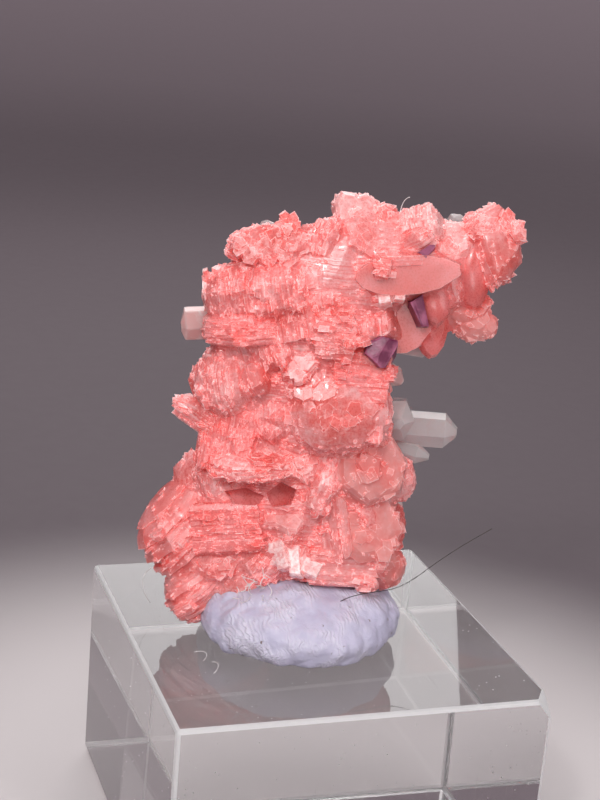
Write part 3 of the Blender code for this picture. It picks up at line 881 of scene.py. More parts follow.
@dataclass
class LeafStacks:
    """Models stacks of crystal leaves, each stack once for its habit and number of leaves.

    Args:
        most: the most leaves in a stack.
        groove: the groove between two leaves, as a share of a leaf's thickness.
        groove_depth: how far a leaf's far edge stands in, as a share of its reach.
        square_share: the width of a square outline, as a share of the stack's.
        outline_spread: how uneven the corners of an outline are.
        leaf_shares: the least and greatest thickness of a leaf, as a share of the mean.
        deepest: how near to the stack's ends the outermost rings may lie.
        variants: how many stacks of one kind differ in their unevenness.
        seed_step: the step from one model's seed to the next.
        shade_step: the step from one growth's shade to the next, on a circle of one.
        steep_from: how upright a growth's way is when it is turned by the depth and not by the height.
        models: the stacks made so far.
    """

    most: int = 28
    groove: float = 0.16
    groove_depth: float = 0.025
    square_share: float = 0.96
    outline_spread: float = 0.05
    leaf_shares: tuple[float, float] = (0.45, 1.55)
    deepest: float = 0.985
    variants: int = 3
    seed_step: int = 17
    shade_step: float = 0.618
    steep_from: float = 0.8
    models: dict = field(default_factory=dict)

    def model(self, form: LeafForm, leaves: int, seed: int) -> bpy.types.Object:
        """Models one stack, one unit wide, high and thick.

        Args:
            form: the habit's leaf form.
            leaves: the number of leaves.
            seed: the seed of its unevenness.

        Returns:
            The stack, centred on the origin and facing up.
        """
        rng = random.Random(seed)
        stack = start_ring(form.corners, 0.5, "NOTHING")
        if form.square:
            half = math.pi / form.corners
            wide = self.square_share / math.cos(half)
            bpy.ops.transform.rotate(value=half, orient_axis="Z", center_override=ORIGIN)
            scale(wide, wide, 1.0)
        bpy.ops.transform.vertex_random(offset=self.outline_spread, seed=seed)
        bpy.ops.mesh.subdivide(number_cuts=form.cuts)
        bpy.ops.transform.vertex_random(offset=form.rough, seed=seed + 1)
        scale(1.0, 1.0, 0.0)
        bpy.ops.mesh.edge_face_add()
        size, z = 1.0, 0.0
        for number, (level, reach) in enumerate(self.profile(form, leaves, rng)):
            rise = level - 0.5 - z
            if number:
                extrude(0.0, 0.0, rise)
            else:
                bpy.ops.transform.translate(value=(0.0, 0.0, rise))
            z = level - 0.5
            if number % 2 == 0:
                bpy.ops.transform.vertex_random(offset=form.rough * 0.5, seed=seed + number)
            ratio = reach / size
            scale(ratio, ratio, 0.0, (0.0, 0.0, z))
            size = reach
        leave_solid()
        mark_rims(stack)
        return stack

    def profile(self, form: LeafForm, leaves: int, rng: random.Random) -> list[tuple[float, float]]:
        """Lays out the rings of a stack: two for the wall of each leaf, with a groove between leaves.

        Args:
            form: the habit's leaf form.
            leaves: the number of leaves.
            rng: the source of its unevenness.

        Returns:
            The level and the reach of each ring.
        """
        edges = [0.0]
        for _ in range(leaves):
            edges.append(edges[-1] + rng.uniform(*self.leaf_shares))
        edges = [edge / edges[-1] for edge in edges]
        rings = []
        for low, high in zip(edges, edges[1:]):
            gap = self.groove * (high - low)
            step = 1.0 + form.step * rng.uniform(-1.0, 1.0)
            for level, share in ((low + gap, step), (high - gap, step - self.groove_depth)):
                depth = min(abs(2.0 * level - 1.0), self.deepest)
                rings.append((level, share * (1.0 - depth ** form.crown) ** (1.0 / form.crown)))
        return rings

    def stack(self, growth: Growth, number: int) -> bpy.types.Object:
        """Makes the stack of one growth.

        Args:
            growth: the growth.
            number: its number, which picks its model and its shade.

        Returns:
            The stack, at its place.
        """
        form = growth.habit.value
        leaves = max(1, min(self.most, round(growth.size[2] / form.leaf)))
        key = (growth.habit, leaves, number % self.variants)
        if key not in self.models:
            self.models[key] = self.model(form, leaves, len(self.models) * self.seed_step)
        turn = Matrix.LocRotScale(None, self.turn(growth), Vector(growth.size))
        crystal = placed_copy(self.models[key], f"growth_{number}", growth_place(growth.at) @ turn)
        axis = SHOW_FACE_TURN.to_matrix() @ Vector(growth.facing).normalized()
        mark(crystal, growth.tone.value, axis, (number * self.shade_step) % 1.0)
        return crystal

    def turn(self, growth: Growth) -> Matrix:
        """Finds the turn from a stack that faces up to one that faces a growth's way.

        Args:
            growth: the growth.

        Returns:
            The turn.
        """
        outward = Vector(growth.facing).normalized()
        steep = abs(outward.z) > self.steep_from
        guide = Vector((0.0, 1.0, 0.0)) if steep else Vector((0.0, 0.0, 1.0))
        up = (guide - guide.dot(outward) * outward).normalized()
        up.rotate(Matrix.Rotation(math.radians(growth.spin), 3, outward))
        return Matrix((up.cross(outward), up, outward)).transposed()

    def clear(self) -> None:
        """Removes the model stacks."""
        drop(*self.models.values())
        self.models.clear()


LEFT_LEDGES = (
    Growth(SLAB, (-2.3, -2.9, 28.5), (7.2, 3.4, 3.4), (0.05, -1.0, 0.12), 0.0, SUGARY),
    Growth(PLATE, (-3.2, -1.4, 28.4), (3.4, 4.0, 1.5), (-0.3, -0.1, 1.0), -10),
    Growth(FAN, (-3.3, -2.9, 24.7), (7.8, 5.8, 9.4), (1.0, -0.15, 0.1)),
    Growth(SLAB, (-4.2, -3.3, 22.0), (7.6, 7.2, 2.5), (0.0, -0.2, 1.0), 10, DEEP),
    Growth(PLATE, (-7.0, -3.4, 24.6), (2.6, 2.8, 1.6), (1.0, -0.35, 0.1), 0.0, FROSTED),
    Growth(PLATE, (-4.6, -2.6, 26.5), (3.6, 5.0, 2.2), (-0.3, -0.1, 1.0), 15),
    Growth(FAN, (-6.0, -3.5, 17.5), (6.0, 6.2, 5.2), (1.0, -0.45, 0.1)),
    Growth(FAN, (-3.8, -5.3, 17.7), (3.0, 3.0, 2.6), (0.9, -0.3, 0.35), 0.0, RIBBED),
    Growth(RHOMB, (-7.5, -3.2, 14.6), (6.6, 4.2, 2.5), (0.33, -0.4, 0.9)),
    Growth(BLOCK, (-5.6, -3.5, 12.8), (5.0, 5.6, 5.2), (1.0, -0.3, -0.2), 0.0, DEEP),
    Growth(FAN, (-2.2, -4.5, 20.0), (3.6, 3.8, 4.0), (1.0, -0.3, 0.3)),
    Growth(FAN, (-2.4, -4.4, 14.4), (4.0, 4.4, 4.6), (1.0, -0.35, 0.2), 0.0, DEEP),
    Growth(BLOCK, (-0.6, -4.4, 22.8), (3.0, 3.8, 4.2), (1.0, -0.2, 0.15), 5),
)
CROWN = (
    Growth(FAN, (2.3, -2.6, 28.9), (4.2, 4.4, 2.8), (0.85, -0.4, -0.35)),
    Growth(PLATE, (3.9, -0.8, 31.3), (2.6, 3.4, 2.6), (0.1, -1.0, 0.2), 20, FROSTED),
    Growth(FAN, (5.2, -0.6, 31.4), (2.6, 3.2, 2.6), (0.0, -1.0, 0.0), 0.0, FROSTED),
    Growth(PLATE, (5.3, -2.2, 29.0), (5.2, 5.0, 3.4), (0.35, -0.8, 0.45), 15),
    Growth(FAN, (6.8, -0.9, 30.7), (2.6, 2.8, 2.6), (0.2, -1.0, 0.2), 0.0, SUGARY),
    Growth(FAN, (9.6, -1.5, 29.9), (4.4, 3.8, 4.4), (0.9, -0.4, 0.25), 0.0, FROSTED),
    Growth(FAN, (9.2, -2.7, 28.8), (4.6, 3.2, 2.8), (-0.5, -0.35, 0.75)),
    Growth(PLATE, (4.6, -3.9, 26.6), (2.0, 5.2, 0.4), (0.87, -0.1, -0.48), 0.0, CLEAVED),
    Growth(FAN, (1.5, -3.0, 26.0), (4.8, 4.6, 3.0), (0.95, -0.3, 0.0)),
    Growth(FAN, (1.9, -3.7, 23.8), (4.6, 4.2, 3.8), (0.9, -0.45, 0.1)),
    Growth(PLATE, (8.0, -3.4, 27.7), (7.0, 4.6, 1.2), (0.0, -0.3, 1.0)),
    Growth(PLATE, (2.0, -1.4, 28.4), (5.4, 4.2, 3.2), (-0.1, -1.0, 0.3), -15),
)
OVERHANG = (
    Growth(FACET, (8.5, -4.0, 26.2), (8.8, 3.4, 3.6), (0.0, -1.0, -0.12), 4, GLASSY),
    Growth(LENS, (10.7, -3.1, 24.2), (2.9, 4.6, 3.2), (0.1, -1.0, 0.0), 8, GLASSY),
    Growth(LENS, (10.9, -1.9, 22.1), (2.7, 5.4, 2.4), (0.3, -1.0, 0.0), -6, GLASSY),
    Growth(FACET, (8.0, -2.4, 22.4), (5.2, 5.0, 3.4), (0.1, -1.0, -0.2), 0.0, GLASSY),
    Growth(BLOCK, (6.8, -5.3, 24.0), (1.1, 0.9, 1.2), (-0.2, -1.0, 0.4), 12, CLEAVED),
    Growth(BLOCK, (7.9, -5.3, 24.3), (0.9, 0.8, 1.0), (0.2, -1.0, 0.3), -8, CLEAVED),
    Growth(FAN, (12.0, -1.7, 25.9), (3.4, 5.0, 3.0), (0.8, -0.6, 0.1)),
    Growth(PLATE, (12.2, -0.7, 28.9), (5.0, 3.4, 3.2), (0.0, -1.0, 0.1), 20, FROSTED),
    Growth(FAN, (13.0, -0.7, 26.6), (3.2, 4.8, 3.0), (0.9, -0.5, 0.0), 0.0, VEILED),
    Growth(FAN, (16.0, -0.8, 28.8), (4.4, 6.8, 3.6), (0.45, -0.85, 0.1), 0.0, CLOUDY),
    Growth(LENS, (14.2, -1.3, 26.6), (3.0, 6.2, 2.6), (0.2, -1.0, -0.1), 0.0, GLASSY),
    Growth(FAN, (14.8, -0.7, 29.9), (4.0, 3.0, 3.0), (0.1, -1.0, 0.3), 20, SUGARY),
    Growth(PLATE, (16.6, -0.8, 29.9), (2.3, 2.4, 2.4), (0.4, -1.0, 0.2), 0.0, SUGARY),
    Growth(PLATE, (16.9, -0.6, 28.0), (2.2, 2.6, 2.4), (0.6, -1.0, 0.0), 0.0, SUGARY),
    Growth(FAN, (16.3, -0.7, 26.6), (2.4, 2.4, 2.2), (0.4, -1.0, -0.3), 0.0, SUGARY),
    Growth(FAN, (13.4, -0.9, 23.5), (3.2, 2.6, 2.4), (0.2, -1.0, 0.2), 0.0, VEILED),
    Growth(FAN, (14.4, -0.7, 22.4), (3.4, 2.9, 2.6), (0.2, -1.0, 0.1), 25, VEILED),
    Growth(LENS, (15.5, -0.7, 22.2), (1.9, 2.3, 2.2), (0.4, -1.0, 0.0), 0.0, VEILED),
    Growth(RHOMB, (14.8, -0.8, 23.6), (2.6, 1.9, 1.8), (0.0, -1.0, 0.3), 20, VEILED),
)
CENTRE = (
    Growth(PLATE, (0.1, -4.7, 18.9), (3.4, 3.2, 2.4), (-0.25, -1.0, 0.25), 8, SUGARY),
    Growth(BLOCK, (2.9, -4.9, 21.4), (3.2, 3.6, 3.8), (0.1, -0.35, 1.0)),
    Growth(BLOCK, (1.4, -5.0, 22.5), (1.6, 1.6, 1.8), (-0.1, -1.0, 0.3), 5, CLEAVED),
    Growth(BLOCK, (5.0, -4.2, 18.4), (5.0, 4.4, 5.0), (0.1, -0.15, 1.0), 0.0, DEEP),
    Growth(FAN, (5.3, -4.0, 21.6), (3.2, 3.2, 2.8), (0.9, -0.3, 0.0)),
    Growth(LENS, (0.3, -5.2, 16.8), (3.6, 2.8, 2.4), (-0.1, -1.0, 0.1)),
    Growth(FAN, (3.0, -4.9, 15.0), (9.2, 7.4, 5.0), (0.05, -1.0, 0.05), 8),
    Growth(PLATE, (2.0, -6.0, 16.6), (3.0, 2.0, 2.0), (-0.05, -1.0, 0.2), 25),
    Growth(BLOCK, (6.4, -3.9, 15.8), (4.6, 7.4, 1.6), (1.0, -0.2, 0.0)),
    Growth(FAN, (-0.5, -4.8, 12.6), (4.6, 3.2, 3.2), (0.2, -0.4, 1.0), -12),
)
LOWER_BODY = (
    Growth(PLATE, (-3.7, -5.7, 10.9), (7.6, 4.4, 2.1), (0.0, -0.55, 0.85), 6, SUGARY),
    Growth(PLATE, (0.2, -5.7, 10.5), (3.0, 2.6, 1.8), (0.0, -1.0, 0.3), 30, SUGARY),
    Growth(FAN, (-6.8, -3.4, 9.4), (4.6, 5.6, 3.8), (0.5, -0.85, 0.1)),
    Growth(BLOCK, (-5.9, -4.3, 5.6), (6.2, 4.8, 4.6), (-0.08, -0.12, 1.0), -8, DEEP),
    Growth(RHOMB, (-1.0, -5.4, 6.0), (4.8, 4.0, 2.4), (-0.2, -0.8, 0.6), 15, CLOUDY),
    Growth(RHOMB, (-0.6, -5.2, 3.1), (4.4, 4.2, 2.4), (-0.3, -0.9, 0.3), 25, CLOUDY),
    Growth(BLOCK, (-1.4, -6.6, 3.0), (1.1, 2.8, 1.6), (-0.5, -0.8, 0.3), 24, CLEAVED),
    Growth(BLOCK, (-0.4, -6.7, 2.4), (1.0, 2.6, 1.6), (-0.2, -0.9, 0.35), 8, CLEAVED),
    Growth(BLOCK, (0.8, -6.8, 1.8), (1.7, 1.5, 1.4), (0.2, -0.9, 0.4), -28, CLEAVED),
    Growth(PLATE, (1.5, -5.4, 9.2), (4.2, 5.4, 2.0), (-0.75, -0.6, 0.25)),
    Growth(BLOCK, (2.7, -4.9, 5.4), (3.2, 5.8, 3.6), (1.0, -0.3, 0.1), 10, CLOUDY),
    Growth(PLATE, (5.6, -3.6, 10.2), (6.8, 6.4, 4.6), (0.3, -1.0, 0.1), 20, VEILED),
    Growth(FAN, (7.9, -2.2, 9.4), (4.0, 4.4, 3.4), (0.6, -0.9, 0.0)),
    Growth(PLATE, (5.4, -4.1, 5.3), (6.2, 6.4, 4.0), (0.1, -1.0, 0.0), 10, VEILED),
    Growth(FAN, (7.2, -2.3, 5.2), (4.4, 5.4, 3.0), (0.8, -0.6, 0.0)),
    Growth(LENS, (7.0, -2.7, 1.7), (4.0, 4.0, 3.8), (0.3, -1.0, -0.1), 0.0, VEILED),
    Growth(BLOCK, (3.2, -4.7, 2.3), (6.4, 4.0, 3.6), (0.1, -0.2, 1.0), 12, CLOUDY),
    Growth(FAN, (-3.4, -4.5, 2.3), (5.0, 5.0, 4.4), (-0.6, -0.4, 0.6), 20),
    Growth(BLOCK, (-2.5, -4.7, 4.6), (3.8, 3.0, 3.0), (0.2, -0.3, 1.0)),
)
HOLLOWS = (
    Growth(PIT, (-1.6, -6.0, 8.1), (2.6, 2.3, 3.6), (0.25, -1.0, 0.0), 4, GLASSY),
    Growth(PIT, (-4.7, -6.2, 8.0), (3.4, 1.7, 4.0), (-0.2, -1.0, 0.1), -6, GLASSY),
)
FAN_LOBE = (
    Growth(RIBS, (-8.7, -2.6, 4.7), (6.4, 9.2, 9.8), (-0.68, -0.25, 0.68), 0.0, RIBBED),
    Growth(RIBS, (-8.3, -3.5, 0.5), (5.4, 7.4, 5.0), (-0.55, -0.35, 0.75), 0.0, RIBBED),
    Growth(PLATE, (-7.0, -4.5, 2.8), (5.4, 4.6, 3.2), (-0.2, -1.0, 0.2), 15),
    Growth(FAN, (-5.2, -4.5, 0.4), (5.2, 5.0, 3.4), (-0.5, -0.5, 0.7)),
    Growth(PLATE, (-8.6, -2.4, 9.2), (4.4, 5.0, 3.0), (-0.4, -0.9, 0.2), 20),
)


FLUORITE_FACES = ((6.4, -6.4, 20.0), (9.55, -5.4, 23.3), (10.0, -4.9, 27.9))


@dataclass(frozen=True)
class Crust:
    """Crystals grown on the surface of larger ones, stacked along each one's axis.

    Args:
        count: how many.
        widths: their least and greatest width in millimetres.
        heights: their height as a share of the width.
        thickness: their thickness as a share of the width.
        proud: how far they stand out of the surface, in millimetres.
        tilt: how far their axes lean from the large crystals'.
        show_weight: how many more grow on the show face.
        seed: the seed of their places.
        open_reach: the open space, in millimetres, that a spot needs before it.
        lift: where that space begins, in millimetres.
        kept_clear: how far they stay from the middles of the fluorite's faces, in millimetres.
        bare_below: the grain up to which a surface stays bare.
        bare_slope: how fast they thicken above that grain.
        bare_ends: how much rarer they are on faces across a crystal's axis.
        sugary: the grain from which such faces are as thick with them as the rest.
        tries: how many spots are drawn for each one that is kept.
        small_bias: how much more common the narrow ones are.
    """

    count: int
    widths: tuple[float, float]
    heights: tuple[float, float]
    thickness: tuple[float, float]
    proud: tuple[float, float]
    tilt: float
    show_weight: float
    seed: int
    open_reach: float = 2.5
    kept_clear: float = 1.5
    lift: float = 0.05
    bare_below: float = 0.2
    bare_slope: float = 3.0
    bare_ends: float = 0.75
    sugary: float = 0.9
    tries: int = 4
    small_bias: float = 2.0

    def spots(self, body: bpy.types.Object) -> tuple[np.ndarray, ...]:
        """Returns random spots on a body's faces, more of them on the show face.

        Args:
            body: the joined large crystals.

        Returns:
            The places, normals, axes and tones at the spots.
        """
        mesh = body.data
        area = read_faces(mesh, "", "area", 1)
        normal = read_faces(mesh, "", "normal", 3)
        axis = read_faces(mesh, "axis", "vector", 3)
        grain = read_faces(mesh, "grain", "value", 1)
        front = SHOW_FACE_TURN.to_matrix() @ Vector((0.0, -1.0, 0.0))
        weight = area * (1.0 + self.show_weight * np.clip(normal @ np.array(front), 0.0, 1.0))
        weight *= np.clip((grain - self.bare_below) * self.bare_slope, 0.0, 1.0)
        facing = np.abs((normal * axis).sum(axis=1))
        weight *= 1.0 - self.bare_ends * facing * (grain < self.sugary)
        picks = np.random.default_rng(self.seed)
        tree = BVHTree.FromObject(body, bpy.context.evaluated_depsgraph_get())
        points, faces = [], []
        for face in picks.choice(len(weight), self.tries * self.count, p=weight / weight.sum()):
            point = self.point_in(mesh, int(face), picks.random(3))
            outward = Vector(normal[face])
            nearest = min((point - specimen_point(*place)).length for place in FLUORITE_FACES)
            start = point + outward * self.lift * MM
            is_open = tree.ray_cast(start, outward, self.open_reach * MM)[0] is None
            if nearest >= self.kept_clear * MM and is_open:
                points.append(point)
                faces.append(int(face))
            if len(points) == self.count:
                break
        tones = np.stack([read_faces(mesh, name, "value", 1) for name in TONE_NAMES], axis=1)
        return np.array(points), normal[faces], axis[faces], tones[faces]

    @staticmethod
    def point_in(mesh: bpy.types.Mesh, face: int, chances: np.ndarray) -> Vector:
        """Finds a point between two corners and the middle of a face.

        Args:
            mesh: the mesh.
            face: the face's number.
            chances: three random numbers from 0 to 1.

        Returns:
            The point.
        """
        polygon = mesh.polygons[face]
        corners = polygon.vertices
        first = int(chances[0] * len(corners)) % len(corners)
        one, other = (mesh.vertices[corners[first - back]].co for back in (0, 1))
        return polygon.center.lerp(one.lerp(other, chances[2]), math.sqrt(chances[1]))

    def grow(self, body: bpy.types.Object, models: list[bpy.types.Object]) -> list[bpy.types.Object]:
        """Sets copies of unit-size crystals on the body's surface.

        Args:
            body: the joined large crystals.
            models: the crystals that are copied.

        Returns:
            The copies.
        """
        rng = random.Random(self.seed)
        grown = []
        for number, (point, normal, axis, tone) in enumerate(zip(*self.spots(body))):
            width = self.widths[0] + (self.widths[1] - self.widths[0]) * rng.random() ** self.small_bias
            size = width * Vector((1.0, rng.uniform(*self.heights), rng.uniform(*self.thickness)))
            outward = Vector(normal)
            lean = Vector([rng.uniform(-self.tilt, self.tilt) for _ in range(3)])
            way = (Vector(axis) + lean).normalized()
            up = way.orthogonal().normalized()
            up.rotate(Matrix.Rotation(rng.uniform(0.0, math.tau), 3, way))
            turn = Matrix((up.cross(way), up, way)).transposed()
            half = [0.5 * side * abs(line.dot(outward)) for side, line in zip(size, turn.transposed())]
            depth = math.hypot(half[0], half[1]) + half[2] - rng.uniform(*self.proud)
            centre = Vector(point) - outward * depth * MM
            place = Matrix.LocRotScale(centre, turn, size * MM)
            crystal = placed_copy(rng.choice(models), f"crystal_{number}", place)
            mark(crystal, tone, way, rng.random())
            grown.append(crystal)
        return grown


def plate_model(corners: int, slant: float, taper: float) -> bpy.types.Object:
    """Models one plate, one unit wide and thick, whose narrower top is shifted over its bottom.

    Args:
        corners: corners of its outline.
        slant: how far its top is shifted.
        taper: the width of its top.

    Returns:
        The plate, centred on the origin.
    """
    plate = start_ring(corners, 0.5)
    bpy.ops.transform.translate(value=(-0.5 * slant, 0.0, -0.5))
    extrude(slant, 0.0, 1.0)
    scale(taper, taper, 1.0, (0.5 * slant, 0.0, 0.5))
    leave_solid()
    mark_rims(plate)
    return plate


def section_at(sections: tuple[Section, ...], z: float) -> Section:
    """Finds the trunk's section at a height.

    Args:
        sections: the sections, from the lowest up.
        z: the height.

    Returns:
        The section, mixed from the two around it.
    """
    for low, high in zip(sections, sections[1:]):
        if z <= high.z:
            share = max(0.0, (z - low.z) / (high.z - low.z))
            mixed = [a + share * (b - a) for a, b in zip(astuple(low), astuple(high))]
            return Section(*mixed)
    return sections[-1]


@dataclass(frozen=True)
class Rhodochrosite:
    """The pink mass: a trunk with the leaves that grew on it."""

    sections: tuple[Section, ...] = (
        Section(-1.2, -1.0, 5.4, 4.2),
        Section(1.5, 0.0, 7.5, 5.4),
        Section(6.5, 0.5, 7.8, 5.6),
        Section(11.5, -0.2, 7.3, 5.1),
        Section(16.5, -0.6, 7.0, 5.0),
        Section(21.0, 0.2, 7.4, 4.9),
        Section(25.2, 2.4, 8.9, 4.5),
        Section(28.4, 3.9, 8.4, 3.5),
        Section(30.4, 6.3, 4.9, 2.1),
    )
    sides: int = 14
    back_levels: tuple[float, ...] = (2.5, 7.5, 12.5, 17.5, 22.5, 27.0)
    back_angles: tuple[float, ...] = (-26.0, 12.0, 52.0, 90.0, 128.0, 166.0, 202.0)
    back_angle_spread: float = 14.0
    back_level_spread: float = 1.3
    back_rise: tuple[float, float] = (-0.4, 0.5)
    back_widths: tuple[float, float] = (4.6, 7.0)
    back_heights: tuple[float, float] = (0.7, 1.0)
    back_thicknesses: tuple[float, float] = (2.2, 3.6)
    back_spin: float = 60.0
    back_setting: float = 0.86
    top_share: float = 0.7
    back_seed: int = 11
    smooth_angle: float = 24.0
    filling: float = 0.7
    filler_sink: float = 0.3
    filler_voxel: float = 0.3
    filler_faces: int = 2500
    block_form: LeafForm = LeafForm(corners=5, cuts=1, crown=5.0, step=0.06, rough=0.03)
    block_leaves: tuple[int, ...] = (2, 3, 3, 4)
    plate_outlines: tuple[tuple[int, float], ...] = ((4, 0.25), (5, 0.1), (4, 0.1))
    plate_taper: float = 0.86
    blocks: Crust = Crust(
        count=280, widths=(1.4, 3.2), heights=(0.6, 1.0), thickness=(0.35, 0.75), proud=(0.1, 0.45),
        tilt=0.18, show_weight=1.5, seed=5,
    )
    plates: Crust = Crust(
        count=6600, widths=(0.4, 1.9), heights=(0.5, 1.0), thickness=(0.12, 0.3), proud=(0.04, 0.2),
        tilt=0.06, show_weight=3.0, seed=6,
    )

    def build(self) -> None:
        """Models the mass, dresses it and gives it to the frame."""
        growths = [*LEFT_LEDGES, *CROWN, *OVERHANG, *CENTRE, *LOWER_BODY, *FAN_LOBE, *self.back_growths()]
        stacks = LeafStacks()
        leaves = [stacks.stack(growth, number) for number, growth in enumerate(growths)]
        body = self.trunk()
        unite(body, leaves)
        stacks.clear()
        log.info("large crystals: %d faces", len(body.data.polygons))
        unite(body, [self.filler(body)])
        log.info("with filler: %d faces", len(body.data.polygons))
        blocks = [stacks.model(self.block_form, leaves, leaves) for leaves in self.block_leaves]
        unite(body, self.blocks.grow(body, blocks))
        plates = [plate_model(corners, slant, self.plate_taper) for corners, slant in self.plate_outlines]
        unite(body, self.plates.grow(body, plates))
        drop(*plates)
        for number, growth in enumerate(HOLLOWS):
            hollow = stacks.stack(growth, number)
            apply_modifier(body, "BOOLEAN", operation="DIFFERENCE", object=hollow, solver="MANIFOLD")
            drop(hollow)
        stacks.clear()
        drop(*blocks)
        pick(body)
        bpy.ops.object.shade_smooth_by_angle(angle=math.radians(self.smooth_angle))
        paint(body, "rhodochrosite_mass", RhodochrositeFinish().build())
        carry(body, "rhodochrosite", "rhodochrosite")

    def filler(self, body: bpy.types.Object) -> bpy.types.Object:
        """Makes the stone that fills the narrow gaps between the large crystals.

        Args:
            body: the joined large crystals.

        Returns:
            The stone.
        """
        filler = placed_copy(body, "filler", Matrix.Identity(4))
        apply_modifier(filler, "REMESH", mode="VOXEL", voxel_size=self.filler_voxel * MM)
        for strength in (self.filling, -self.filling - self.filler_sink):
            apply_modifier(filler, "DISPLACE", strength=strength * MM, mid_level=0.0)
            apply_modifier(filler, "REMESH", mode="VOXEL", voxel_size=self.filler_voxel * MM)
        apply_modifier(filler, "DECIMATE", ratio=self.filler_faces / len(filler.data.polygons))
        copy_traits(body, filler)
        return filler

    def trunk(self) -> bpy.types.Object:
        """Models the mass that the leaves grow from, level by level.

        Returns:
            The trunk, in its place.
        """
        first = self.sections[0]
        trunk = start_ring(self.sides, 1.0)
        bpy.ops.transform.resize(value=(first.half_width, first.half_depth, 1.0))
        bpy.ops.transform.translate(value=(first.x, TRUNK_DEPTH, first.z))
        for low, high in zip(self.sections, self.sections[1:]):
            extrude(high.x - low.x, 0.0, high.z - low.z)
            scale(
                high.half_width / low.half_width, high.half_depth / low.half_depth, 1.0,
                (high.x, TRUNK_DEPTH, high.z),
            )
        leave_solid()
        upright = Matrix.Identity(4)
        upright[1][2] = -UPRIGHT_SLOPE
        trunk.data.transform(SHOW_FACE @ upright)
        mark(trunk, STRIATED.value, Vector((0.0, 0.0, 1.0)), 0.5)
        mark_rims(trunk)
        return trunk

    def back_growths(self) -> list[Growth]:
        """Lays out the leaves over the sides and the back, like those of the show face.

        Returns:
            The leaves, from the lowest level up.
        """
        rng = random.Random(self.back_seed)
        growths = []
        for level in self.back_levels:
            for angle in self.back_angles:
                turn = math.radians(angle + rng.uniform(-self.back_angle_spread, self.back_angle_spread))
                z = level + rng.uniform(-self.back_level_spread, self.back_level_spread)
                section = section_at(self.sections, z)
                out = (math.cos(turn), math.sin(turn), rng.uniform(*self.back_rise))
                at = (
                    section.x + self.back_setting * section.half_width * out[0],
                    TRUNK_DEPTH + self.back_setting * section.half_depth * out[1],
                    z,
                )
                habit = rng.choice((PLATE, FAN, PLATE, RHOMB))
                share = self.top_share if level == self.back_levels[-1] else 1.0
                width = rng.uniform(*self.back_widths) * share
                size = (width, width * rng.uniform(*self.back_heights), rng.uniform(*self.back_thicknesses))
                rng.choice((1, 2, 2))  # the solid's number of leaves, drawn so that the places stay the same
                growths.append(Growth(habit, at, size, out, rng.uniform(-self.back_spin, self.back_spin)))
        return growths


@dataclass(frozen=True)
class Prism:
    """A quartz crystal: its root, its tip, its radius and how far along its point begins."""

    base: tuple[float, float, float]
    tip: tuple[float, float, float]
    radius: float
    shoulder: float


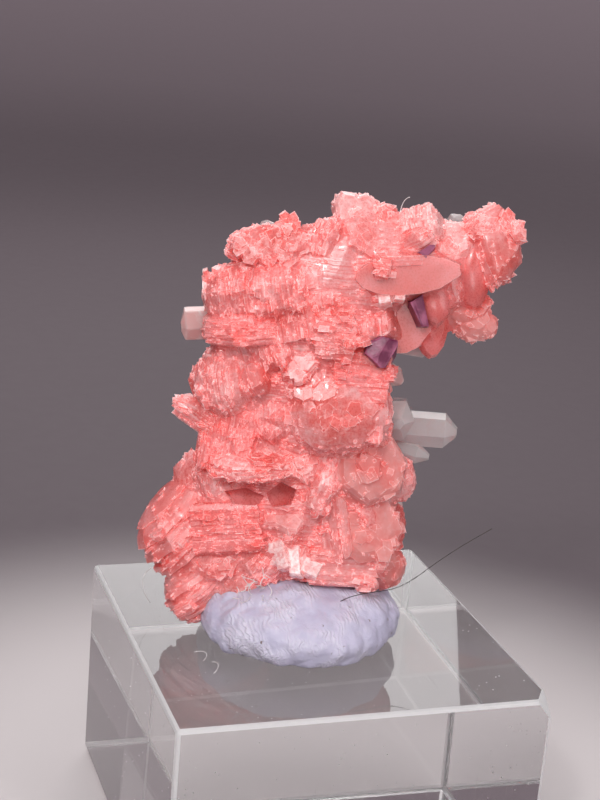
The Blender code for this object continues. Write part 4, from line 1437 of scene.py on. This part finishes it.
@dataclass
class QuartzCrystals:
    """The clear crystals that stand in the pink mass."""

    groups: dict = field(default_factory=lambda: {
        "quartz_cluster": (
            Prism((5.6, -0.4, 13.9), (13.3, -0.9, 13.3), 1.55, 0.86),
            Prism((8.3, 1.4, 14.6), (7.9, -2.7, 14.2), 1.9, 0.72),
            Prism((7.4, -0.8, 12.2), (10.95, -1.4, 11.2), 0.95, 0.7),
        ),
        "quartz_stub": (Prism((-5.6, -2.0, 22.5), (-9.9, -2.6, 22.3), 1.45, 0.92),),
        "quartz_nub": (Prism((6.4, 0.0, 18.9), (8.7, 0.0, 17.5), 1.0, 0.7),),
        "quartz_window": (Prism((8.0, -1.3, 20.6), (10.9, -0.9, 20.1), 0.7, 0.8),),
        "quartz_crest": (
            Prism((-2.3, 0.6, 28.6), (-2.9, 0.6, 30.9), 0.85, 0.8),
            Prism((-1.3, 0.8, 28.6), (-0.7, 0.8, 30.8), 0.75, 0.85),
        ),
        "quartz_neck": (Prism((12.4, 0.2, 29.8), (13.4, 0.3, 31.2), 1.0, 0.75),),
        "quartz_bead": (Prism((7.0, -1.2, 7.2), (8.8, -1.4, 7.0), 0.6, 0.7),),
    })
    clear_groups: tuple[str, ...] = ("quartz_cluster", "quartz_window", "quartz_crest", "quartz_neck")
    sides: int = 6
    turn: float = 30.0
    flatness: float = 0.85
    unevenness: float = 0.06
    tip_share: float = 0.34
    tip_flatness: float = 0.8
    tip_lean: tuple[float, float] = (0.12, -0.1)
    up_guide: tuple[float, float, float] = (0.0, -0.45, 1.0)
    edge: float = 0.1

    def build(self) -> None:
        """Models each group as one piece and gives it to the frame."""
        clear = QuartzFinish().build()
        milky = QuartzFinish(
            "milky_quartz", clear=(0.95, 0.58, 0.56), veil=(0.97, 0.78, 0.77), clearness=0.3, haze=0.08,
        ).build()
        for name, prisms in self.groups.items():
            finish = clear if name in self.clear_groups else milky
            crystals = [self.crystal(prism, number) for number, prism in enumerate(prisms)]
            piece = crystals[0]
            if len(crystals) > 1:
                unite(piece, crystals[1:])
            soften(piece, self.edge, 2)
            paint(piece, name + "_crystals", finish)
            carry(piece, "quartz", name)

    def crystal(self, prism: Prism, number: int) -> bpy.types.Object:
        """Models one six-sided crystal with an uneven point.

        Args:
            prism: its root, tip and radius.
            number: the seed of its unevenness.

        Returns:
            The crystal, in its place.
        """
        base, tip = specimen_point(*prism.base), specimen_point(*prism.tip)
        length = (tip - base).length / MM
        crystal = start_ring(self.sides, prism.radius)
        bpy.ops.transform.rotate(value=math.radians(self.turn), orient_axis="Z", center_override=ORIGIN)
        scale(self.flatness, 1.0, 1.0)
        neck = prism.shoulder * length
        extrude(0.0, 0.0, neck)
        bpy.ops.transform.vertex_random(offset=self.unevenness * prism.radius, seed=number + 3)
        across, along = (lean * prism.radius for lean in self.tip_lean)
        extrude(across, along, length - neck)
        scale(self.tip_share, self.tip_share * self.tip_flatness, 1.0, (across, along, length))
        leave_solid()
        axis = (tip - base).normalized()
        guide = SHOW_FACE_TURN.to_matrix() @ Vector(self.up_guide)
        up = (guide - guide.dot(axis) * axis).normalized()
        turn = Matrix((up.cross(axis), up, axis)).transposed().to_4x4()
        crystal.data.transform(Matrix.Translation(base) @ turn @ Matrix.Scale(MM, 4))
        return crystal


@dataclass(frozen=True)
class Cube:
    """A fluorite crystal: its centre and sides, and the broken faces that bound its outline.

    Args:
        at: its centre in the specimen.
        size: its sides.
        breaks: the way each broken face looks and how far it is from the centre.
    """

    at: tuple[float, float, float]
    size: tuple[float, float, float]
    breaks: tuple[tuple[float, float, float, float], ...]


@dataclass
class FluoriteCrystals:
    """The purple cubes with broken corners and stepped faces, half sunk in the pink mass."""

    crystals: dict = field(default_factory=lambda: {
        "fluorite_large": Cube(
            (6.4, -5.2, 20.0), (2.9, 3.0, 2.8),
            (
                (-0.69, -0.2, -0.73, 1.25), (0.88, -0.15, -0.48, 1.2), (-0.4, -0.25, 0.92, 1.22),
                (-0.95, -0.2, 0.3, 1.36),
                (0.3, -0.1, 0.95, 1.28), (-0.1, -1.0, 0.25, 1.38), (0.45, -1.0, -0.1, 1.36),
            ),
        ),
        "fluorite_medium": Cube(
            (9.55, -4.4, 23.3), (1.7, 2.4, 2.7),
            (
                (-0.52, -0.15, 0.85, 1.04), (-0.9, -0.1, -0.43, 0.55), (0.98, -0.1, 0.2, 0.6),
                (0.3, -1.0, 0.1, 1.1),
            ),
        ),
        "fluorite_small": Cube(
            (10.0, -4.2, 27.9), (1.5, 1.8, 1.1),
            ((-0.5, -0.2, 0.8, 0.42), (0.8, -0.2, -0.6, 0.5), (-0.6, -0.1, -0.8, 0.5), (0.2, -1.0, 0.2, 0.8)),
        ),
    })
    step: float = 0.14
    step_depth: float = 0.035
    edge: float = 0.02

    def build(self) -> None:
        """Models each cube and gives it to the frame."""
        finish = FluoriteFinish().build()
        for name, cube in self.crystals.items():
            piece = start_cube()
            scale(*cube.size)
            for *way, reach in cube.breaks:
                out = Vector(way).normalized()
                bpy.ops.mesh.select_all(action="SELECT")
                bpy.ops.mesh.bisect(plane_co=out * reach, plane_no=out, clear_outer=True, use_fill=True)
            bpy.ops.mesh.select_all(action="SELECT")
            bpy.ops.mesh.normals_make_consistent(inside=False)
            bpy.ops.mesh.inset(use_individual=True, thickness=self.step, depth=-self.step_depth)
            leave()
            piece.data.transform(growth_place(cube.at))
            soften(piece, self.edge, 1)
            paint(piece, name + "_crystal", finish)
            carry(piece, "fluorite", name)


@dataclass
class PuttyMound:
    """The mound of putty, pressed flat on the block and ridged by a finger."""

    centre: tuple[float, float] = (-1.6, -0.5)
    radii: tuple[float, float] = (9.0, 9.5)
    turn: float = -18.0
    gap: float = 0.3
    levels: tuple = ((0.0, 0.86), (0.8, 0.97), (2.0, 1.0), (3.3, 0.94), (4.5, 0.76), (5.3, 0.48))
    sides: int = 24
    cap_inset: float = 1.6
    cap_rise: float = 0.3
    rounding: int = 4
    lumps: tuple = (("CLOUDS", 3.2, 0.7), ("CLOUDS", 1.1, 0.22), ("VORONOI", 1.8, -0.35))

    def build(self) -> None:
        """Models the mound and gives it to the frame."""
        share = self.levels[0][1]
        mound = start_ring(self.sides, 1.0)
        bpy.ops.transform.resize(value=(self.radii[0] * share, self.radii[1] * share, 1.0))
        for (low, narrow), (high, wide) in zip(self.levels, self.levels[1:]):
            extrude(0.0, 0.0, high - low)
            scale(wide / narrow, wide / narrow, 1.0, (0.0, 0.0, high))
        bpy.ops.mesh.inset(thickness=self.cap_inset, depth=self.cap_rise)
        leave_solid()
        foot = Vector((*self.centre, BLOCK_TOP + self.gap))
        turn = Matrix.Rotation(math.radians(self.turn), 4, "Z")
        mound.data.transform(Matrix.Scale(MM, 4) @ Matrix.Translation(foot) @ turn)
        apply_modifier(mound, "SUBSURF", levels=self.rounding, render_levels=self.rounding)
        for kind, size, strength in self.lumps:
            texture = bpy.data.textures.new("putty_" + kind.lower(), kind)
            texture.noise_scale = size * MM
            apply_modifier(
                mound, "DISPLACE", texture=texture, texture_coords="LOCAL", strength=strength * MM,
            )
        bpy.ops.object.shade_smooth()
        paint(mound, "putty_mound", PuttyFinish().build())
        carry(mound, "putty", "mounting_putty")


@dataclass
class ClearBlock:
    """The clear square block, with polished edges and one chipped top corner."""

    side: float = 32.0
    height: float = 19.0
    edge: float = 0.35
    chip: float = 1.1
    flat_enough: float = 0.999
    chip_slant: tuple[float, float, float] = (0.75, -0.5, 0.6)

    def build(self) -> None:
        """Models the block and gives it to the frame."""
        block = start_cube()
        bpy.ops.transform.translate(value=(0.0, 0.0, 0.5))
        scale(self.side, self.side, self.height)
        bpy.ops.mesh.bevel(offset=self.edge, affect="EDGES", segments=2)
        slant = Vector(self.chip_slant).normalized()
        corner = Vector((0.5 * self.side, -0.5 * self.side, self.height)) - slant * self.chip
        bpy.ops.mesh.select_all(action="SELECT")
        bpy.ops.mesh.bisect(plane_co=corner, plane_no=slant, clear_outer=True, use_fill=True)
        leave()
        block.data.transform(Matrix.Scale(MM, 4))
        edge = AcrylicFinish("acrylic_edge", colour=(0.97, 0.93, 0.93), clearness=0.45, haze=0.3)
        paint(block, "clear_block", AcrylicFinish().build(), edge.build())
        for face in block.data.polygons:
            face.material_index = int(max(abs(side) for side in face.normal) < self.flat_enough)
        carry(block, "clear_acrylic", "acrylic_block")


@dataclass(frozen=True)
class FibreFinish:
    """Fine fibres, a little darker along some stretches."""

    name: str
    colour: tuple[float, float, float]
    shade: tuple[float, float, float]

    def build(self) -> bpy.types.Material:
        """Builds the material.

        Returns:
            The material.
        """
        canvas = Canvas(self.name)
        stretches = canvas.noise(canvas.place(), 1.5)
        return canvas.finish(
            Base_Color=canvas.mix(stretches.ramp(0.4, 0.6), self.shade, self.colour),
            Roughness=0.4 + 0.2 * stretches,
        )


@dataclass(frozen=True)
class Fibre:
    """A loose fibre: the places that it passes, in world millimetres, and its thickness."""

    places: tuple[tuple[float, float, float], ...]
    thickness: float


@dataclass
class LooseFibres:
    """The dark hair over the putty, and the pale lint on the specimen and the block."""

    hair: Fibre = Fibre(
        (
            (0.0, -5.9, 24.0), (0.7, -5.6, 24.3), (2.0, -5.4, 24.5), (3.7, -5.3, 24.7), (5.6, -4.9, 24.4),
            (7.9, -4.1, 25.1), (10.6, -3.4, 26.9), (14.9, -3.0, 28.9),
        ),
        0.07,
    )
    lint: tuple[Fibre, ...] = (
        Fibre(
            (
                (4.1, -0.9, 56.1), (4.2, -0.9, 56.6), (4.3, -0.8, 57.1), (4.5, -0.8, 57.4),
                (4.9, -0.8, 57.5),
            ),
            0.06,
        ),
        Fibre(
            (
                (-13.4, 4.2, 20.3), (-14.2, 4.2, 21.3), (-14.5, 4.1, 22.5), (-14.2, 4.3, 23.3),
                (-13.2, 4.6, 23.5),
            ),
            0.04,
        ),
        Fibre(
            (
                (-11.3, -3.2, 19.05), (-10.6, -3.4, 19.3), (-10.2, -4.0, 19.4), (-10.5, -4.6, 19.2),
                (-11.0, -4.9, 19.05),
            ),
            0.06,
        ),
        Fibre(
            (
                (-10.3, -5.2, 19.05), (-9.9, -5.6, 19.3), (-9.9, -6.4, 19.4), (-10.3, -7.0, 19.2),
                (-10.7, -7.2, 19.05),
            ),
            0.06,
        ),
    )
    tuft_middle: tuple[float, float, float] = (-6.9, -3.9, 24.7)
    tuft_reach: tuple[float, float, float] = (1.5, 0.6, 1.1)
    tuft_curl: float = 0.55
    tuft_thickness: float = 0.06
    tuft_count: int = 26
    tuft_seed: int = 23
    points: int = 5
    smoothness: int = 6
    merge_share: float = 0.05

    def build(self) -> None:
        """Models the hair and the lint, and gives both to the frame."""
        dark = FibreFinish("hair", colour=(0.05, 0.035, 0.03), shade=(0.02, 0.015, 0.015))
        pale = FibreFinish("lint", colour=(0.9, 0.86, 0.86), shade=(0.7, 0.62, 0.62))
        self.piece("dark_hair", "hair", (self.hair,), dark)
        self.piece("pale_lint", "lint", (*self.lint, *self.tuft()), pale)

    def tuft(self) -> list[Fibre]:
        """Lays out the curled fibres that are caught where the mass meets the putty.

        Returns:
            The fibres.
        """
        rng = random.Random(self.tuft_seed)
        fibres = []
        for _ in range(self.tuft_count):
            place = Vector([middle + rng.uniform(-1.0, 1.0) * reach
                            for middle, reach in zip(self.tuft_middle, self.tuft_reach)])
            places = []
            for _ in range(self.points):
                places.append(tuple(place))
                place = place + Vector([rng.uniform(-self.tuft_curl, self.tuft_curl) for _ in range(3)])
            fibres.append(Fibre(tuple(places), self.tuft_thickness))
        return fibres

    def piece(self, name: str, slot: str, fibres: tuple[Fibre, ...], finish: FibreFinish) -> None:
        """Models fibres as one mesh of fine tubes and gives it to the frame.

        Args:
            name: the piece's name.
            slot: its material slot.
            fibres: the fibres.
            finish: their finish.
        """
        tubes = [self.tube(fibre) for fibre in fibres]
        start_fresh()
        for tube in tubes:
            tube.select_set(True)
        bpy.context.view_layer.objects.active = tubes[0]
        bpy.ops.object.join()
        piece = bpy.context.object
        piece.data.transform(Matrix.Scale(MM, 4))
        bpy.ops.object.shade_smooth()
        paint(piece, name, finish.build())
        carry(piece, slot)

    def tube(self, fibre: Fibre) -> bpy.types.Object:
        """Models a closed tube along a smooth path through a fibre's places.

        Args:
            fibre: the fibre.

        Returns:
            The tube.
        """
        start_fresh()
        bpy.ops.curve.primitive_nurbs_path_add()
        tube = bpy.context.object
        path = tube.data.splines[0]
        path.points.add(len(fibre.places) - len(path.points))
        for point, place in zip(path.points, fibre.places):
            point.co = (*place, 1.0)
        path.resolution_u = self.smoothness
        tube.data.bevel_depth = 0.5 * fibre.thickness
        tube.data.bevel_resolution = 1
        tube.data.use_fill_caps = True
        bpy.ops.object.convert(target="MESH")
        edit(tube)
        bpy.ops.mesh.remove_doubles(threshold=self.merge_share * fibre.thickness)
        leave_solid()
        return tube


@dataclass(frozen=True)
class Lamp:
    """A square soft light: its name, its place and side in millimetres, and its power in watts."""

    name: str
    place: tuple[float, float, float]
    side: float
    watts: float


@dataclass
class Studio:
    """The pale floor, the soft lights and the camera at the photograph's viewing angle."""

    floor_drop: float = 0.3
    floor_radius: float = 320.0
    wall_radius: float = 1100.0
    wall_height: float = 900.0
    floor_sides: int = 96
    wall_steps: int = 10
    lamps: tuple[Lamp, ...] = (
        Lamp("key", (-170.0, -150.0, 260.0), 200.0, 0.36),
        Lamp("fill", (230.0, -190.0, 140.0), 220.0, 0.2),
        Lamp("rim", (40.0, 230.0, 190.0), 180.0, 0.24),
        Lamp("front", (-60.0, -330.0, 60.0), 110.0, 0.12),
        Lamp("spark", (-150.0, -210.0, 230.0), 22.0, 0.2),
        Lamp("glint", (60.0, -260.0, 170.0), 16.0, 0.07),
    )
    lamp_aim: tuple[float, float, float] = (0.0, 0.0, 35.0)
    room_colour: tuple[float, float, float, float] = (0.95, 0.93, 0.95, 1.0)
    room_light: float = 0.76
    camera_place: tuple[float, float, float] = (-47.32, -125.70, 81.92)
    camera_turn: tuple[float, float, float] = (72.57, 4.97, -19.53)
    lens: float = 75.48
    sensor: float = 36.0

    def build(self) -> None:
        """Sets the stage, the lights and the camera."""
        self.floor()
        for lamp in self.lamps:
            self.hang(lamp)
        world = bpy.data.worlds.new("studio")
        world.use_nodes = True
        room = world.node_tree.nodes["Background"].inputs
        room["Color"].default_value = self.room_colour
        room["Strength"].default_value = self.room_light
        bpy.context.scene.world = world
        bpy.context.scene.view_settings.view_transform = "Standard"
        self.camera()

    def floor(self) -> None:
        """Models a round floor that curves up into a wall all round."""
        floor = start_ring(self.floor_sides, self.floor_radius * MM)
        bpy.ops.transform.translate(value=(0.0, 0.0, -self.floor_drop * MM))
        radius, height = self.floor_radius, 0.0
        for step in range(1, self.wall_steps + 1):
            angle = 0.5 * math.pi * step / self.wall_steps
            wide = self.floor_radius + (self.wall_radius - self.floor_radius) * math.sin(angle)
            high = self.wall_height * (1.0 - math.cos(angle))
            extrude(0.0, 0.0, (high - height) * MM)
            scale(wide / radius, wide / radius, 1.0)
            radius, height = wide, high
        bpy.ops.mesh.delete(type="ONLY_FACE")
        leave()
        bpy.ops.object.shade_smooth()
        paint(floor, "floor", StageFinish().build())

    def hang(self, lamp: Lamp) -> None:
        """Hangs a lamp that faces the specimen.

        Args:
            lamp: the lamp.
        """
        bpy.ops.object.light_add(type="AREA", location=Vector(lamp.place) * MM)
        light = bpy.context.object
        light.name = lamp.name
        light.data.size = lamp.side * MM
        light.data.energy = lamp.watts
        light.visible_transmission = False
        light.visible_camera = False
        aim = Vector(self.lamp_aim) - Vector(lamp.place)
        light.rotation_euler = aim.to_track_quat("-Z", "Y").to_euler()

    def camera(self) -> None:
        """Sets the camera where the photograph was taken from."""
        tilt, roll, heading = (math.radians(angle) for angle in self.camera_turn)
        turn = Matrix.Rotation(heading, 3, "Z") @ Matrix.Rotation(tilt, 3, "X")
        turn = turn @ Matrix.Rotation(roll, 3, "Z")
        bpy.ops.object.camera_add(location=Vector(self.camera_place) * MM, rotation=turn.to_euler())
        camera = bpy.context.object
        camera.data.sensor_fit = "VERTICAL"
        camera.data.sensor_height = self.sensor
        camera.data.lens = self.lens
        camera.data.clip_start = 10.0 * MM
        bpy.context.scene.camera = camera


def main() -> None:
    """Builds the specimen, its mount, the lint on it and the studio, and reports each piece."""
    logging.basicConfig(level=logging.INFO, format="%(message)s")
    Rhodochrosite().build()
    QuartzCrystals().build()
    FluoriteCrystals().build()
    PuttyMound().build()
    ClearBlock().build()
    LooseFibres().build()
    Studio().build()


if __name__ == "__main__":
    main()
